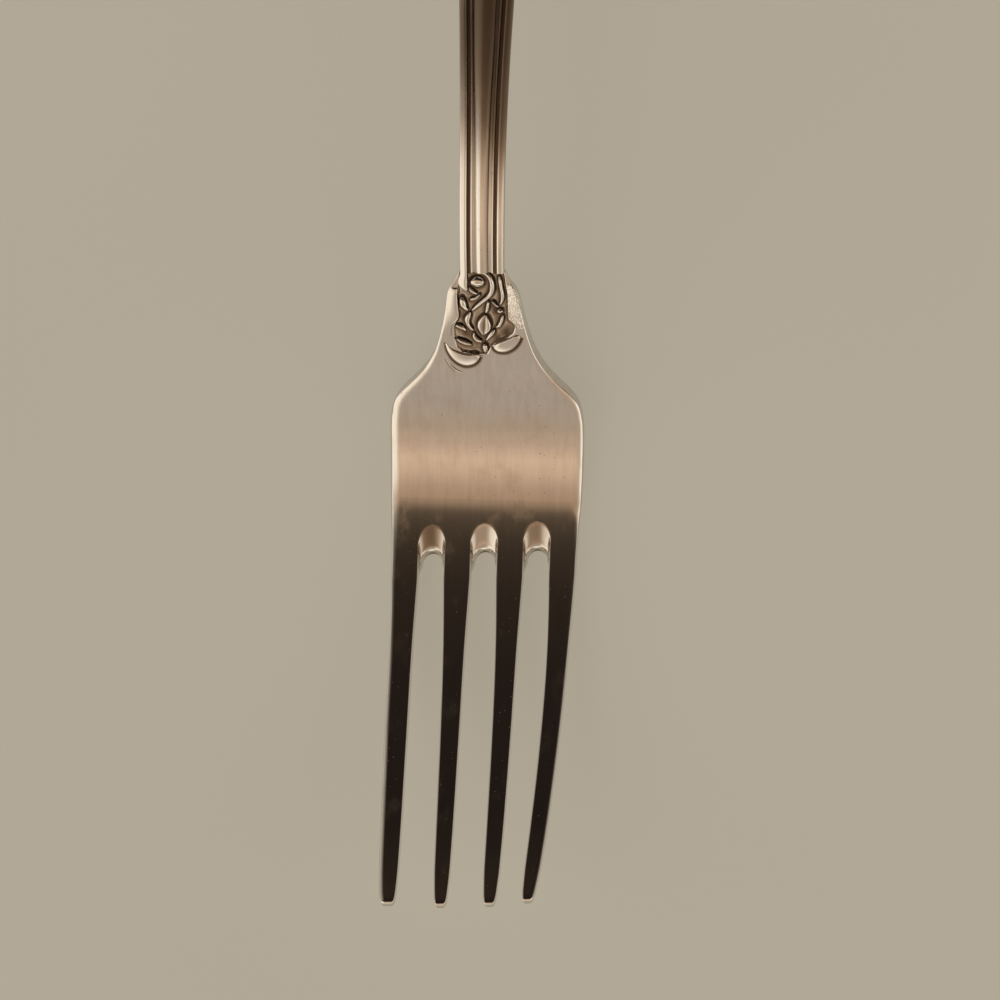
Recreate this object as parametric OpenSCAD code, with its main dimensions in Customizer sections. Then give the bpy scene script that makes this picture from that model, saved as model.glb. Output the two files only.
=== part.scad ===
// Dinner fork with four tines, a scroll-and-leaf shoulder and a reeded handle.
// Millimetres. The fork lies on its back, front face up: +Y runs from the tine tips to the handle end,
// +X is to the right when the front face is looked at, +Z is up. The origin is at the middle of the
// bounding box, on the surface that the fork lies on.
// A place on the fork is given by its station, the distance from the tine tips along Y.

/* [Overall] */
// Length of the whole fork
fork_l = 195; // [180:1:210]
// Width across the head at its widest
head_w = 26.3; // [24.5:0.1:28]
// Rise of the handle's arch above the palm
arch_rise = 15.8; // [12:0.1:18]
// Rise of the tine tips above the palm
tip_rise = 13; // [9:0.1:15]
// Station of the top of the arch
arch_at = 118.6; // [112:0.2:124]

/* [Tines] */
// Station of the slot ends on the back face
slot_l = 46.1; // [42:0.1:48]
// Length of the scoop that runs up from each slot end
scoop_l = 3.75; // [3:0.05:4.2]
// Width of each scoop on the front face
scoop_w = 3.75; // [3.5:0.05:4.1]
// Length of solid web between the scoops and the lowest line of the palm
web_l = 3.8; // [3.2:0.1:4.6]
// Spacing of the tines at the roots
root_pitch = 7.16; // [6.8:0.02:7.5]
// Spacing of the tines at the tips
tip_pitch = 6.2; // [5.8:0.1:7]
// Width of a tine at its root, where its slots start
root_w = 3.58; // [3.3:0.02:3.75]
// Width of a tine halfway along
mid_w = 2.6; // [2.3:0.05:3]
// Width of a tine where its point starts
point_w = 2.16; // [1.9:0.02:2.6]
// Width of the blunt end of a tine
tip_w = 1.4; // [1:0.05:1.8]
// Length over which a tine narrows to its blunt end
point_l = 5; // [4:0.5:9]
// Thickness of a tine at its blunt end
tip_t = 1.45; // [1.2:0.05:1.8]
// Sideways lean of the first tine at its tip, towards +X
lean_1 = -0.45; // [-0.8:0.05:0.6]
// Sideways lean of the second tine at its tip, towards +X
lean_2 = 0.2; // [-0.6:0.05:0.6]
// Sideways lean of the third tine at its tip, towards +X
lean_3 = 0.45; // [-0.6:0.05:0.6]
// Sideways lean of the fourth tine at its tip, towards +X
lean_4 = -0.75; // [-0.8:0.05:0.6]
// Extra width of the first tine, on its outer side
first_extra_w = 0.45; // [0:0.05:0.7]
// How much further the two middle tines reach than the outer ones
middle_reach = 0.35; // [0:0.05:0.8]
// Rounding of the tines' inner long edges
tine_round = 0.24; // [0.15:0.01:0.4]
// Rounding of the outer tines' outer edges
outer_round = 0.7; // [0.4:0.05:0.85]

/* [Palm and shoulder] */
// Thickness of the palm
palm_t = 2.3; // [2:0.1:2.8]
// Width of the rounding along the front edge of the palm
palm_round = 1.3; // [0.9:0.05:1.5]
// Width of the rounding along the shoulder beside the ornament
shoulder_round = 0.4; // [0.3:0.02:0.6]
// Length from the widest line of the head to the top of the shoulder
shoulder_l = 21; // [19:0.5:23]
// Length from the lowest line of the palm to the widest line of the head
widest_l = 9; // [7:0.5:11]
// Length of the plate that carries the ornament
crest_l = 12; // [11:0.25:13]
// Height of the tallest ornament above the plate
crest_h = 0.6; // [0.4:0.05:1]
// Height of the two wings beside the ornament
wing_h = 0.3; // [0.2:0.02:0.45]

/* [Handle] */
// Width of the neck
neck_w = 5.85; // [5.4:0.05:6.4]
// Thickness of the neck under its reeds
neck_t = 3; // [2.6:0.1:3.5]
// Widest width of the handle, near its end
handle_w = 17.8; // [14:0.1:21]
// Thickness of the handle near its end, under its reeds
end_t = 1.6; // [1.3:0.1:2]
// Length of the rounded handle end
end_arc_l = 9; // [7:0.5:12]
// Width of a border reed
reed_w = 1.05; // [0.9:0.05:1.2]
// Height of a border reed
reed_h = 0.65; // [0.45:0.05:0.8]
// Width of the groove beside a reed
groove_w = 0.3; // [0.2:0.05:0.4]
// Width of a thread
thread_w = 0.42; // [0.3:0.02:0.5]
// Height of a thread
thread_h = 0.38; // [0.25:0.01:0.5]
// Width of the centre rib at the neck
rib_w = 1.7; // [1.4:0.05:1.9]
// Height of the centre rib
rib_h = 0.6; // [0.4:0.05:0.8]

/* [Hidden] */

silver = "#c9bfae";
bright_silver = "#ddd3c2";
// Wear that flattens the places the fork lies on
wear = 0.08;
low_at = slot_l + scoop_l + web_l;
scoop_at = slot_l + scoop_l;
widest_at = low_at + widest_l;
neck_at = widest_at + shoulder_l;
crest_at = neck_at - crest_l - rib_w / 2;
tip_over = tip_t * sin(atan(2 * tip_rise / low_at));
end_at = fork_l - tip_over;
end_arc_at = end_at - end_arc_l;
leans = [lean_1, lean_2, lean_3, lean_4];

// Height shares of the palm's climb from its lowest line to the arch, with one place past each end
climb_shares = [
    [-0.1, 0.045], [0, 0], [0.1, 0.045], [0.19, 0.17], [0.34, 0.5], [0.5, 0.79], [0.66, 0.93], [0.82, 0.985],
    [1, 1], [1.18, 0.985]
];
// Height shares of the handle's fall from the arch to its end, with one place past each end
fall_shares = [
    [-0.14, 0.03], [0, 0], [0.14, 0.03], [0.32, 0.18], [0.55, 0.53], [0.75, 0.83], [0.9, 0.985], [1, 1],
    [1.1, 0.995]
];
// Shares of the way from the neck's width to the head's, from the widest line to the neck
shoulder_shares = [
    [0, 1], [0.06, 0.996], [0.11, 0.98], [0.16, 0.957], [0.21, 0.904], [0.26, 0.81], [0.31, 0.688],
    [0.36, 0.573], [0.41, 0.479], [0.46, 0.407], [0.51, 0.35], [0.61, 0.276], [0.71, 0.223], [0.81, 0.188],
    [0.86, 0.165], [0.905, 0.122], [0.95, 0.051], [1, 0]
];
// Width of the top of the shoulder as a share of the neck's width
shoulder_top_share = 1.06;
// Width share of the head at the roots of the tines
root_share = 0.978;
// Shares by which the handle widens from its neck to its widest line
widen_shares = [
    [0, 0], [0.18, 0.02], [0.32, 0.09], [0.49, 0.23], [0.66, 0.465], [0.82, 0.75], [0.94, 0.955], [1, 1]
];

// Cubic through a table of places and values, with the slope of the neighbours at each
function table_slope(t, i) =
    let(a = max(i - 1, 0), b = min(i + 1, len(t) - 1)) (t[b][1] - t[a][1]) / (t[b][0] - t[a][0]);
function table_index(t, x, i = 0) = i >= len(t) - 2 || x < t[i + 1][0] ? i : table_index(t, x, i + 1);
function curve(t, x_in) =
    let(
        x = min(max(x_in, t[0][0]), t[len(t) - 1][0]),
        i = table_index(t, x),
        h = t[i + 1][0] - t[i][0],
        k = (x - t[i][0]) / h,
        m0 = table_slope(t, i) * h,
        m1 = table_slope(t, i + 1) * h
    )
    (2 * k ^ 3 - 3 * k ^ 2 + 1) * t[i][1] + (k ^ 3 - 2 * k ^ 2 + k) * m0
    + (3 * k ^ 2 - 2 * k ^ 3) * t[i + 1][1] + (k ^ 3 - k ^ 2) * m1;
function mix(a, b, k) = a + (b - a) * k;
function ease(k) = let(c = min(max(k, 0), 1)) c * c * (3 - 2 * c);

// Height of the front face along the middle of the fork
function rise(s) =
    s < low_at ? tip_rise * (1 - s / low_at) ^ 2
    : s < arch_at ? arch_rise * curve(climb_shares, (s - low_at) / (arch_at - low_at))
    : mix(arch_rise, end_t - palm_t, curve(fall_shares, (s - arch_at) / (end_at - arch_at)));
function slope(s) = let(d = wear) (rise(s + d) - rise(s - d)) / (2 * d);

// Half of the fork's width at a station
function head_half(s) =
    s < widest_at ? head_w / 2 * mix(root_share, 1, ease((s - slot_l) / (widest_at - slot_l)))
    : mix(neck_w * shoulder_top_share, head_w, curve(shoulder_shares, (s - widest_at) / shoulder_l)) / 2;
function handle_half(s) =
    s <= end_arc_at
    ? mix(neck_w, handle_w, curve(widen_shares, (s - neck_at) / (end_arc_at - neck_at))) / 2
    : handle_w / 2 * sqrt(max(1 - ((s - end_arc_at) / end_arc_l) ^ 2, 0));

// Thickness under the front face
function thickness(s) = curve([
    [0, tip_t], [slot_l, mix(tip_t, palm_t, 0.9)], [widest_at, palm_t], [crest_at, mix(palm_t, neck_t, 0.35)],
    [neck_at, neck_t], [arch_at, mix(neck_t, end_t, 0.15)], [end_arc_at, end_t], [end_at, end_t]
], s);

// The slot ends and tips run a little askew: this share of the way across is added to their stations
skew_share = 0.06;
first_tip_a = leans[0] - 1.5 * tip_pitch;
function true_station(s, a) = s + skew_share * (a - first_tip_a) * ease((low_at - s) / web_l);

// Point at a station, across by a and out of the front face by b, never below the lying surface
function at(s_in, a, b) = let(
    s = true_station(s_in, a),
    m = slope(s),
    n = sqrt(1 + m * m),
    z = palm_t - wear + rise(s) + b / n
) [a, s + tip_over - fork_l / 2 - b * m / n, max(z, 0)];

// Solid through a list of rings with equal numbers of points
module skin(rings) {
    n = len(rings[0]);
    last = len(rings) - 1;
    polyhedron(
        points = [for (ring = rings) for (p = ring) p],
        faces = concat(
            [[for (i = [0 : n - 1]) i]],
            [for (r = [0 : last - 1]) for (i = [0 : n - 1]) let(j = (i + 1) % n)
                [r * n + i, (r + 1) * n + i, (r + 1) * n + j]],
            [for (r = [0 : last - 1]) for (i = [0 : n - 1]) let(j = (i + 1) % n)
                [r * n + i, (r + 1) * n + j, r * n + j]],
            [[for (i = [n - 1 : -1 : 0]) last * n + i]]
        )
    );
}

// Edge of a plate in steps from its front face to its back. The front corner is a shallow crown of width r.
side_steps = 6;
crown_share = 0.45;
back_round_share = 0.55;
// Shares of a rounding at three places: in from the side, and down from the face
inset_shares = [1, 0.3, 0];
depth_shares = [0, 0.3, 1];
function edge_inset(r, i) =
    i < 3 ? r * inset_shares[i] : i == 3 ? 0 : r * back_round_share * inset_shares[side_steps - i];
function edge_depth(r, t, i) =
    i < 3 ? r * crown_share * depth_shares[i]
    : i == 3 ? t / 2
    : t - r * back_round_share * depth_shares[side_steps - i];
// How far up the ornament the edge's rounding has become the shoulder's, as a share of the ornament's length
round_share = 0.35;
function edge_round(s) =
    mix(palm_round, shoulder_round, ease((s - widest_at) / (crest_at + crest_l * round_share - widest_at)));

// Tines: rows run down from the palm, over the scoops and along the legs to the tip
web_rows = 3;
arch_rows = 7;
leg_rows = 4;
// Height of each round slot end as a share of its width: on the front, then on the back
spring_shares = [0.74, 0.4];
// Width of the slot end on the back as a share of its width on the front
back_width_share = 0.72;
leg_at = slot_l - scoop_w;
front_spring_at = scoop_at - scoop_w * spring_shares[0];
back_spring_at = slot_l - scoop_w * spring_shares[1];
back_half_w = scoop_w / 2 * back_width_share;
slot_half_w = (root_pitch - root_w) / 2;
// Shares of the way through a scoop, from its edge on the front to the slot end on the back
nest_shares = [0, 0.3, 0.62, 0.8, 0.86, 0.95, 1];
sink_shares = [0, 0.3, 0.48, 0.55, 0.64, 0.86, 1];
// Stations along a free tine, as shares of its length from the legs to the tip
tine_shares = [0.9, 0.8, 0.7, 0.6, 0.5, 0.4, 0.3, 0.2, 0.13, 0.08, 0.045];
// Sizes of the last rings as shares of the blunt end
blunt_shares = [[0.025, 0.98], [0.013, 0.9], [0.005, 0.74], [0, 0.48]];

// Where the point has part of its width, and where the tine starts to flare towards its root, as shares
point_shares = [0.3, 0.47];
flare_shares = [0.78, 0.34];
function tine_width(s) = curve([
    [0, tip_w], [point_l * point_shares[0], mix(tip_w, point_w, point_shares[1])], [point_l, point_w],
    [leg_at / 2, mid_w], [leg_at * flare_shares[0], mix(mid_w, root_w, flare_shares[1])], [leg_at, root_w]
], s);
function tine_middle(k, s) =
    let(f = max(1 - s / slot_l, 0) ^ 2) (k - 1.5) * mix(root_pitch, tip_pitch, f) + leans[k] * f;
// A row: station on the front, station on the back, half gap on the front, half gap on the back, blend, size
function tine_rows() = concat(
    [for (j = [0 : web_rows - 1]) let(k = j / web_rows)
        [mix(low_at, scoop_at, k), mix(low_at, slot_l, k), 0, 0, 0, 1]],
    [for (j = [0 : arch_rows]) let(q = 90 * j / arch_rows)
        [mix(front_spring_at, scoop_at, cos(q)), mix(back_spring_at, slot_l, cos(q)),
            scoop_w / 2 * sin(q), back_half_w * sin(q), 0, 1]],
    [for (j = [1 : leg_rows]) let(k = j / leg_rows)
        [mix(front_spring_at, leg_at, k), mix(back_spring_at, leg_at, k),
            mix(scoop_w / 2, slot_half_w, k), mix(back_half_w, slot_half_w, k), ease(k), 1]],
    [for (k = tine_shares) [leg_at * k, leg_at * k, 0, 0, 1, 1]],
    [for (k = blunt_shares) [leg_at * k[0], leg_at * k[0], 0, 0, 1, k[1]]]
);
// Outer side of the first and last tines: it leaves the head's edge and becomes the tine's own
function outer_blend(s) = ease((low_at - s) / (low_at - leg_at));
function extra_w(k, s) = k == 0 ? first_extra_w * ease((leg_at - s) / (leg_at / 2)) : 0;
// Places of one side of a tine in a row, as [station, across, depth] from front to back
function outer_side(k, row, side) = [for (i = [0 : side_steps]) let(
    s = mix(row[0], row[1], nest_shares[i]),
    t = thickness(s) * mix(1, row[5], 0.8),
    f = outer_blend(s),
    r = mix(palm_round, outer_round, f) * row[5],
    free = side * tine_middle(k, s) + (tine_width(s) / 2 + extra_w(k, s)) * row[5]
) [s, side * (mix(head_half(s), free, f) - edge_inset(r, i)), edge_depth(r, t, i)]];
function inner_side(k, row, side) = [for (i = [0 : side_steps]) let(
    s = mix(row[0], row[1], nest_shares[i]),
    t = thickness(s) * mix(1, row[5], 0.8),
    free = tine_middle(k, s) + side * (tine_width(s) / 2 * row[5] - edge_inset(tine_round, i)),
    bound = (k - 1.5 + side / 2) * root_pitch - side * mix(row[2], row[3], nest_shares[i])
) [s, mix(bound, free, row[4]), mix(t * sink_shares[i], edge_depth(tine_round, t, i), row[4])]];
function tine_side(k, row, side) =
    (k == 0 && side < 0) || (k == 3 && side > 0) ? outer_side(k, row, side) : inner_side(k, row, side);
// The middle tines' rows are moved on towards their tips
function reach(k, s) = k == 1 || k == 2 ? middle_reach * max(1 - s / leg_at, 0) : 0;
function tine_ring(k, row) = let(
    left = tine_side(k, row, -1),
    right = tine_side(k, row, 1),
    n = side_steps
) [for (p = concat(right, [for (i = [n : -1 : 0]) left[i]])) at(p[0] - reach(k, p[0]), p[1], -p[2])];
module tine(k) color(silver) skin([for (row = tine_rows()) tine_ring(k, row)]);

// Plate of the palm and shoulder: rings across the fork between two stations
function plate_points(half, wide, deep, t) = concat(
    [for (i = [0 : side_steps]) [half - edge_inset(wide, i), edge_depth(deep, t, i)]],
    [for (i = [side_steps : -1 : 0]) [edge_inset(wide, i) - half, edge_depth(deep, t, i)]]
);
function flare(s) = let(d = wear) sqrt(1 + ((head_half(s + d) - head_half(s - d)) / (2 * d)) ^ 2);
function plate_ring(s) = let(r = edge_round(s)) [
    for (p = plate_points(head_half(s), r * flare(s), r, thickness(s))) at(s, p[0], -p[1])
];
palm_steps = 14;
shoulder_steps = 12;
module palm() color(silver) skin([
    for (k = [0 : palm_steps]) plate_ring(mix(crest_at, low_at, k / palm_steps))
]);
module shoulder() color(silver) skin([
    for (k = [0 : shoulder_steps]) plate_ring(mix(neck_at, crest_at, k / shoulder_steps))
]);

// Stem and handle: flat-fronted core that the reeds, threads and rib stand on
core_points = 5;
// Width of the core's rounding and depth of its square front edge, as shares of the thickness
core_round_share = 0.9;
core_edge_share = 0.2;
function core_ring(s) = let(
    half = handle_half(s),
    t = thickness(s),
    r = min(half, t * core_round_share),
    round = [for (j = [0 : core_points]) let(q = 90 * j / core_points)
        [half - r * (1 - cos(q)), mix(t * core_edge_share, t, sin(q))]]
) [for (p = concat(
    [[-half, 0], [half, 0]],
    round,
    [for (j = [core_points : -1 : 0]) [-round[j][0], round[j][1]]]
)) at(s, p[0], -p[1])];
// Stations along the stem, and along the handle with its rounded end
stem_steps = 12;
handle_steps = 14;
end_steps = 12;
end_sweep = 87;
stem_stations = [for (k = [stem_steps : -1 : 0]) mix(neck_at, arch_at, k / stem_steps)];
handle_stations = concat(
    [for (k = [end_steps : -1 : 1]) end_arc_at + end_arc_l * sin(end_sweep * k / end_steps)],
    [for (k = [handle_steps : -1 : 0]) mix(arch_at, end_arc_at, k / handle_steps)]
);
module stem() color(silver) skin([for (s = stem_stations) core_ring(s)]);
module handle() color(silver) skin([for (s = handle_stations) core_ring(s)]);

// Line beside the handle's edge at a distance in from it: [station, across, inward station, inward across]
function edge_line(s) = let(
    d = wear,
    in_end = s > end_arc_at,
    q = in_end ? asin((s - end_arc_at) / end_arc_l) : 0,
    m = in_end ? 0 : (handle_half(s + d) - handle_half(s - d)) / (2 * d),
    flat = sqrt(1 + m * m),
    tx = in_end ? -handle_w / 2 * sin(q) : m / flat,
    ts = in_end ? end_arc_l * cos(q) : 1 / flat,
    n = sqrt(tx * tx + ts * ts)
) [s, handle_half(s), tx / n, -ts / n];
// Ring of a moulding that runs along the edge: side is -1 or 1, from is its distance in from the edge
function moulding_ring(s, side, from, profile) = let(e = edge_line(s)) [
    for (p = profile) at(e[0] + e[2] * (from + p[0]), side * (e[1] + e[3] * (from + p[0])), p[1])
];
// Section of each moulding as shares of its width and height
reed_shares = [[0, 0], [0, 0.5], [0.12, 0.82], [0.45, 1], [0.8, 0.84], [0.97, 0.45], [1, 0]];
thread_shares = [[0, 0], [0.15, 0.7], [0.5, 1], [0.85, 0.7], [1, 0]];
function profile(shares, w, h) = [for (p = shares) [p[0] * w, p[1] * h]];
// The left reed runs on past the neck to a rounded end: place below the neck and height, as shares
reed_end_shares = [[0.06, 1], [0.15, 1], [0.19, 0.85], [0.205, 0.5]];
module moulding(side, from, shares, w, h, end_shares) {
    neck_rings = [for (s = concat(handle_stations, [for (i = [1 : stem_steps]) stem_stations[i]]))
        moulding_ring(s, side, from, profile(shares, w, h))];
    end_rings = [for (p = end_shares)
        moulding_ring(neck_at - crest_l * p[0], side, from, profile(shares, w, h * p[1]))];
    last = len(shares) - 1;
    skin([for (ring = concat(neck_rings, end_rings)) side > 0 ? ring : [for (i = [last : -1 : 0]) ring[i]]]);
}
module reed(side) color(bright_silver)
    moulding(side, 0, reed_shares, reed_w, reed_h, side < 0 ? reed_end_shares : []);
module thread(side) color(silver) moulding(side, reed_w + groove_w, thread_shares, thread_w, thread_h, []);

// Centre rib: a long spine that fades out on the handle, in rows of shares [place, width, height]
rib_shares = [
    [0, 1, 1], [0.1, 1, 1], [0.3, 1.15, 1], [0.45, 1.5, 0.9], [0.7, 1.6, 0.6], [0.9, 1, 0.25], [1, 0.1, 0.05]
];
// Half-round section that the rib and the ornament share
bead_shares = [[-1, 0], [-0.72, 0.68], [0, 1], [0.72, 0.68], [1, 0]];
rib_steps = 24;
rib_end_at = (arch_at + end_arc_at) / 2;
function column(t, c) = [for (row = t) [row[0], row[c]]];
module centre_rib() color(bright_silver) skin([for (k = [rib_steps : -1 : 0]) let(
    u = k / rib_steps,
    s = mix(neck_at, rib_end_at, u),
    half = rib_w / 2 * curve(column(rib_shares, 1), u),
    h = rib_h * curve(column(rib_shares, 2), u)
) [for (p = bead_shares) at(s, p[0] * half, p[1] * h)]]);

// Ornament: each stroke is a table of shares [across, along, half width, height] of the crest's sizes.
// The field that it fills follows the reeds at its top and the shoulder at its foot.
field_top_share = 2.667;
field_foot_share = 0.825;
field_foot_at_share = 0.35;
field_top = (neck_w / 2 - reed_w) * field_top_share;
field_foot = head_half(crest_at + crest_l * field_foot_at_share) * field_foot_share;
function field_half(v) = mix(field_foot, field_top, ease(v));
stroke_steps = 3;
// Step along a stroke that its direction is measured over
stroke_step = 0.02;
function crest_place(p) = [crest_at + p[1] * crest_l, p[0] * field_half(p[1])];
function stroke_curve(t, c, x) = curve([for (i = [0 : len(t) - 1]) [i, t[i][c]]], x);
function stroke_point(t, x) = [for (c = [0 : 3]) stroke_curve(t, c, x)];
function stroke_ring(t, x, section) = let(
    p = stroke_point(t, x),
    a = crest_place(stroke_point(t, x - stroke_step)),
    b = crest_place(stroke_point(t, x + stroke_step)),
    c = crest_place(p),
    v = (b - a) / norm(b - a),
    w = p[2] * field_half(p[1]),
    h = p[3] * crest_h
) [for (q = section) at(c[0] + v[1] * w * q[0], c[1] - v[0] * w * q[0], h * q[1])];
module stroke(t, section = bead_shares) color(bright_silver) skin([
    for (k = [(len(t) - 1) * stroke_steps : -1 : 0]) stroke_ring(t, k / stroke_steps, section)
]);
// Section of a cupped leaf, with a hollow between two rims
cupped_shares = [[-1, 0], [-0.78, 0.8], [-0.5, 1], [0, 0.6], [0.5, 1], [0.78, 0.8], [1, 0]];

c_scroll_shares = [
    [-0.12, 1.06, 0.02, 0.4], [0, 1.065, 0.035, 0.65], [0.1, 1.055, 0.05, 0.8], [0.2, 1.015, 0.06, 0.9],
    [0.255, 0.95, 0.07, 0.95], [0.25, 0.88, 0.07, 0.95], [0.18, 0.825, 0.06, 0.85], [0.03, 0.772, 0.05, 0.8],
    [-0.135, 0.717, 0.045, 0.65], [-0.28, 0.665, 0.022, 0.35]
];
upper_bead_shares = [
    [-0.33, 0.965, 0.03, 0.25], [-0.28, 0.965, 0.1, 0.75], [-0.14, 0.967, 0.15, 1], [0, 0.965, 0.1, 0.75],
    [0.05, 0.965, 0.03, 0.25]
];
upper_petal_shares = [
    [-0.36, 0.905, 0.02, 0.35], [-0.31, 0.88, 0.045, 0.7], [-0.24, 0.857, 0.045, 0.7], [-0.15, 0.838, 0.02, 0.3]
];
upper_crescent_shares = [
    [-0.33, 0.775, 0.02, 0.25], [-0.26, 0.782, 0.035, 0.45], [-0.16, 0.8, 0.035, 0.45], [-0.07, 0.83, 0.02, 0.25]
];
left_knob_shares = [
    [-0.55, 0.8, 0.03, 0.3], [-0.55, 0.765, 0.075, 0.75], [-0.52, 0.72, 0.085, 0.85], [-0.46, 0.68, 0.045, 0.5],
    [-0.4, 0.665, 0.02, 0.25]
];
left_leaf_shares = [
    [-0.34, 0.64, 0.025, 0.35], [-0.385, 0.605, 0.065, 0.75], [-0.43, 0.56, 0.075, 0.8],
    [-0.41, 0.51, 0.05, 0.65], [-0.33, 0.465, 0.035, 0.5], [-0.28, 0.45, 0.02, 0.3]
];
stalk_shares = [
    [0.152, 0.765, 0.02, 0.5], [0.145, 0.74, 0.045, 0.8], [0.12, 0.69, 0.05, 0.9], [0.09, 0.65, 0.035, 0.7]
];
centre_leaf_shares = [
    [0.07, 0.615, 0.03, 0.5], [0.05, 0.585, 0.1, 0.8], [0.03, 0.53, 0.18, 0.95], [0.02, 0.475, 0.185, 0.95],
    [0.01, 0.43, 0.1, 0.85], [0.01, 0.4, 0.03, 0.5]
];
left_lobe_shares = [
    [-0.26, 0.42, 0.02, 0.35], [-0.25, 0.38, 0.05, 0.75], [-0.17, 0.345, 0.055, 0.8], [-0.06, 0.33, 0.03, 0.4]
];
right_lobe_shares = [
    [0.3, 0.46, 0.02, 0.35], [0.25, 0.43, 0.055, 0.8], [0.16, 0.39, 0.05, 0.8], [0.08, 0.35, 0.03, 0.4]
];
right_twig_shares = [
    [0.25, 0.76, 0.02, 0.4], [0.3, 0.745, 0.03, 0.6], [0.36, 0.72, 0.03, 0.6], [0.41, 0.705, 0.015, 0.3]
];
right_leaf_shares = [
    [0.53, 0.615, 0.02, 0.35], [0.51, 0.585, 0.045, 0.7], [0.48, 0.545, 0.05, 0.75], [0.42, 0.505, 0.045, 0.7],
    [0.35, 0.49, 0.02, 0.35]
];
ribbon_shares = [
    [0.45, 1.03, 0.02, 0.4], [0.47, 0.98, 0.05, 0.8], [0.5, 0.905, 0.05, 0.85], [0.53, 0.83, 0.055, 0.85],
    [0.51, 0.77, 0.045, 0.7], [0.46, 0.735, 0.022, 0.35]
];
ribbon_knob_shares = [
    [0.37, 0.655, 0.02, 0.3], [0.42, 0.66, 0.06, 0.75], [0.48, 0.66, 0.065, 0.8], [0.53, 0.655, 0.025, 0.3]
];
left_curl_shares = [
    [-0.74, 0.49, 0.02, 0.3], [-0.67, 0.488, 0.045, 0.65], [-0.57, 0.473, 0.05, 0.65], [-0.48, 0.445, 0.02, 0.3]
];
left_crescent_shares = [
    [-0.72, 0.35, 0.02, 0.3], [-0.62, 0.327, 0.045, 0.65], [-0.48, 0.308, 0.05, 0.65], [-0.34, 0.29, 0.02, 0.35]
];
left_cup_shares = [
    [-1.03, 0.3, 0.02, 0.25], [-0.93, 0.225, 0.08, 0.7], [-0.75, 0.16, 0.15, 0.95], [-0.54, 0.125, 0.18, 1],
    [-0.36, 0.128, 0.165, 1], [-0.22, 0.153, 0.12, 0.9], [-0.13, 0.175, 0.04, 0.4]
];
left_ridge_shares = [
    [-1.03, 0.13, 0.015, 0.15], [-0.92, 0.06, 0.025, 0.3], [-0.76, 0.01, 0.025, 0.3], [-0.62, -0.01, 0.015, 0.15]
];
right_cup_shares = [
    [0.26, 0.285, 0.03, 0.35], [0.32, 0.275, 0.1, 0.8], [0.43, 0.27, 0.15, 1], [0.6, 0.283, 0.175, 1],
    [0.77, 0.32, 0.16, 0.95], [0.91, 0.37, 0.11, 0.8], [0.97, 0.4, 0.04, 0.4]
];
lower_bead_shares = [
    [0.03, 0.305, 0.025, 0.3], [0.03, 0.285, 0.07, 0.75], [0.03, 0.245, 0.075, 0.8], [0.03, 0.215, 0.03, 0.3]
];

// Wings: raised panels between the ornament and the shoulder's edge. Inner edge in shares of the ornament's
// sizes, as [along, across], left then right.
wing_inner_shares = [
    [[0.37, 0.87], [0.46, 0.86], [0.51, 0.82], [0.55, 0.69], [0.6, 0.635], [0.66, 0.645], [0.76, 0.663],
        [0.9, 0.66], [0.96, 0.65]],
    [[0.4, 1], [0.45, 0.96], [0.49, 0.88], [0.53, 0.79], [0.57, 0.67], [0.63, 0.655], [0.73, 0.655],
        [0.86, 0.645], [0.97, 0.6]]
];
// Places of each wing's foot and top, as shares of the ornament's length
wing_ends_shares = [[0.38, 0.9], [0.47, 0.95]];
// Height along a wing and over its section
wing_height_shares = [[0, 0.4], [0.1, 1], [0.9, 1], [1, 0.4]];
wing_section_shares = [[0, 0], [0.1, 0.8], [0.35, 1], [0.75, 0.85], [1, 0]];
wing_steps = 14;
function wing_ring(side, k) = let(
    i = side < 0 ? 0 : 1,
    v = mix(wing_ends_shares[i][0], wing_ends_shares[i][1], k),
    s = crest_at + v * crest_l,
    outer = head_half(s) - edge_round(s) * flare(s),
    inner = field_half(v) * curve(wing_inner_shares[i], v),
    h = wing_h * curve(wing_height_shares, k),
    ring = [for (p = wing_section_shares) at(s, side * mix(inner, outer, p[0]), h * p[1])],
    last = len(ring) - 1
) side > 0 ? ring : [for (i = [last : -1 : 0]) ring[i]];
module wing(side) color(bright_silver) skin([
    for (k = [wing_steps : -1 : 0]) wing_ring(side, k / wing_steps)
]);

// Handle end ornament: a leaf between two scrolls, in shares of the rounded end
function end_place(t, side) = [for (p = t) [side * p[0] * handle_w / 2 / field_top,
    (end_arc_at + p[1] * end_arc_l - crest_at) / crest_l, p[2] * handle_w / 2 / field_top, p[3]]];
end_leaf_shares = [
    [0, -0.75, 0.015, 0.2], [0, -0.45, 0.1, 0.7], [0, -0.1, 0.15, 0.9], [0, 0.25, 0.13, 0.85],
    [0, 0.55, 0.05, 0.5], [0, 0.68, 0.015, 0.2]
];
end_scroll_shares = [
    [0.12, -0.42, 0.015, 0.2], [0.24, -0.3, 0.045, 0.6], [0.4, -0.18, 0.06, 0.8], [0.52, 0.02, 0.065, 0.85],
    [0.5, 0.24, 0.06, 0.8], [0.38, 0.36, 0.05, 0.7], [0.28, 0.28, 0.04, 0.5], [0.27, 0.16, 0.02, 0.3]
];

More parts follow.
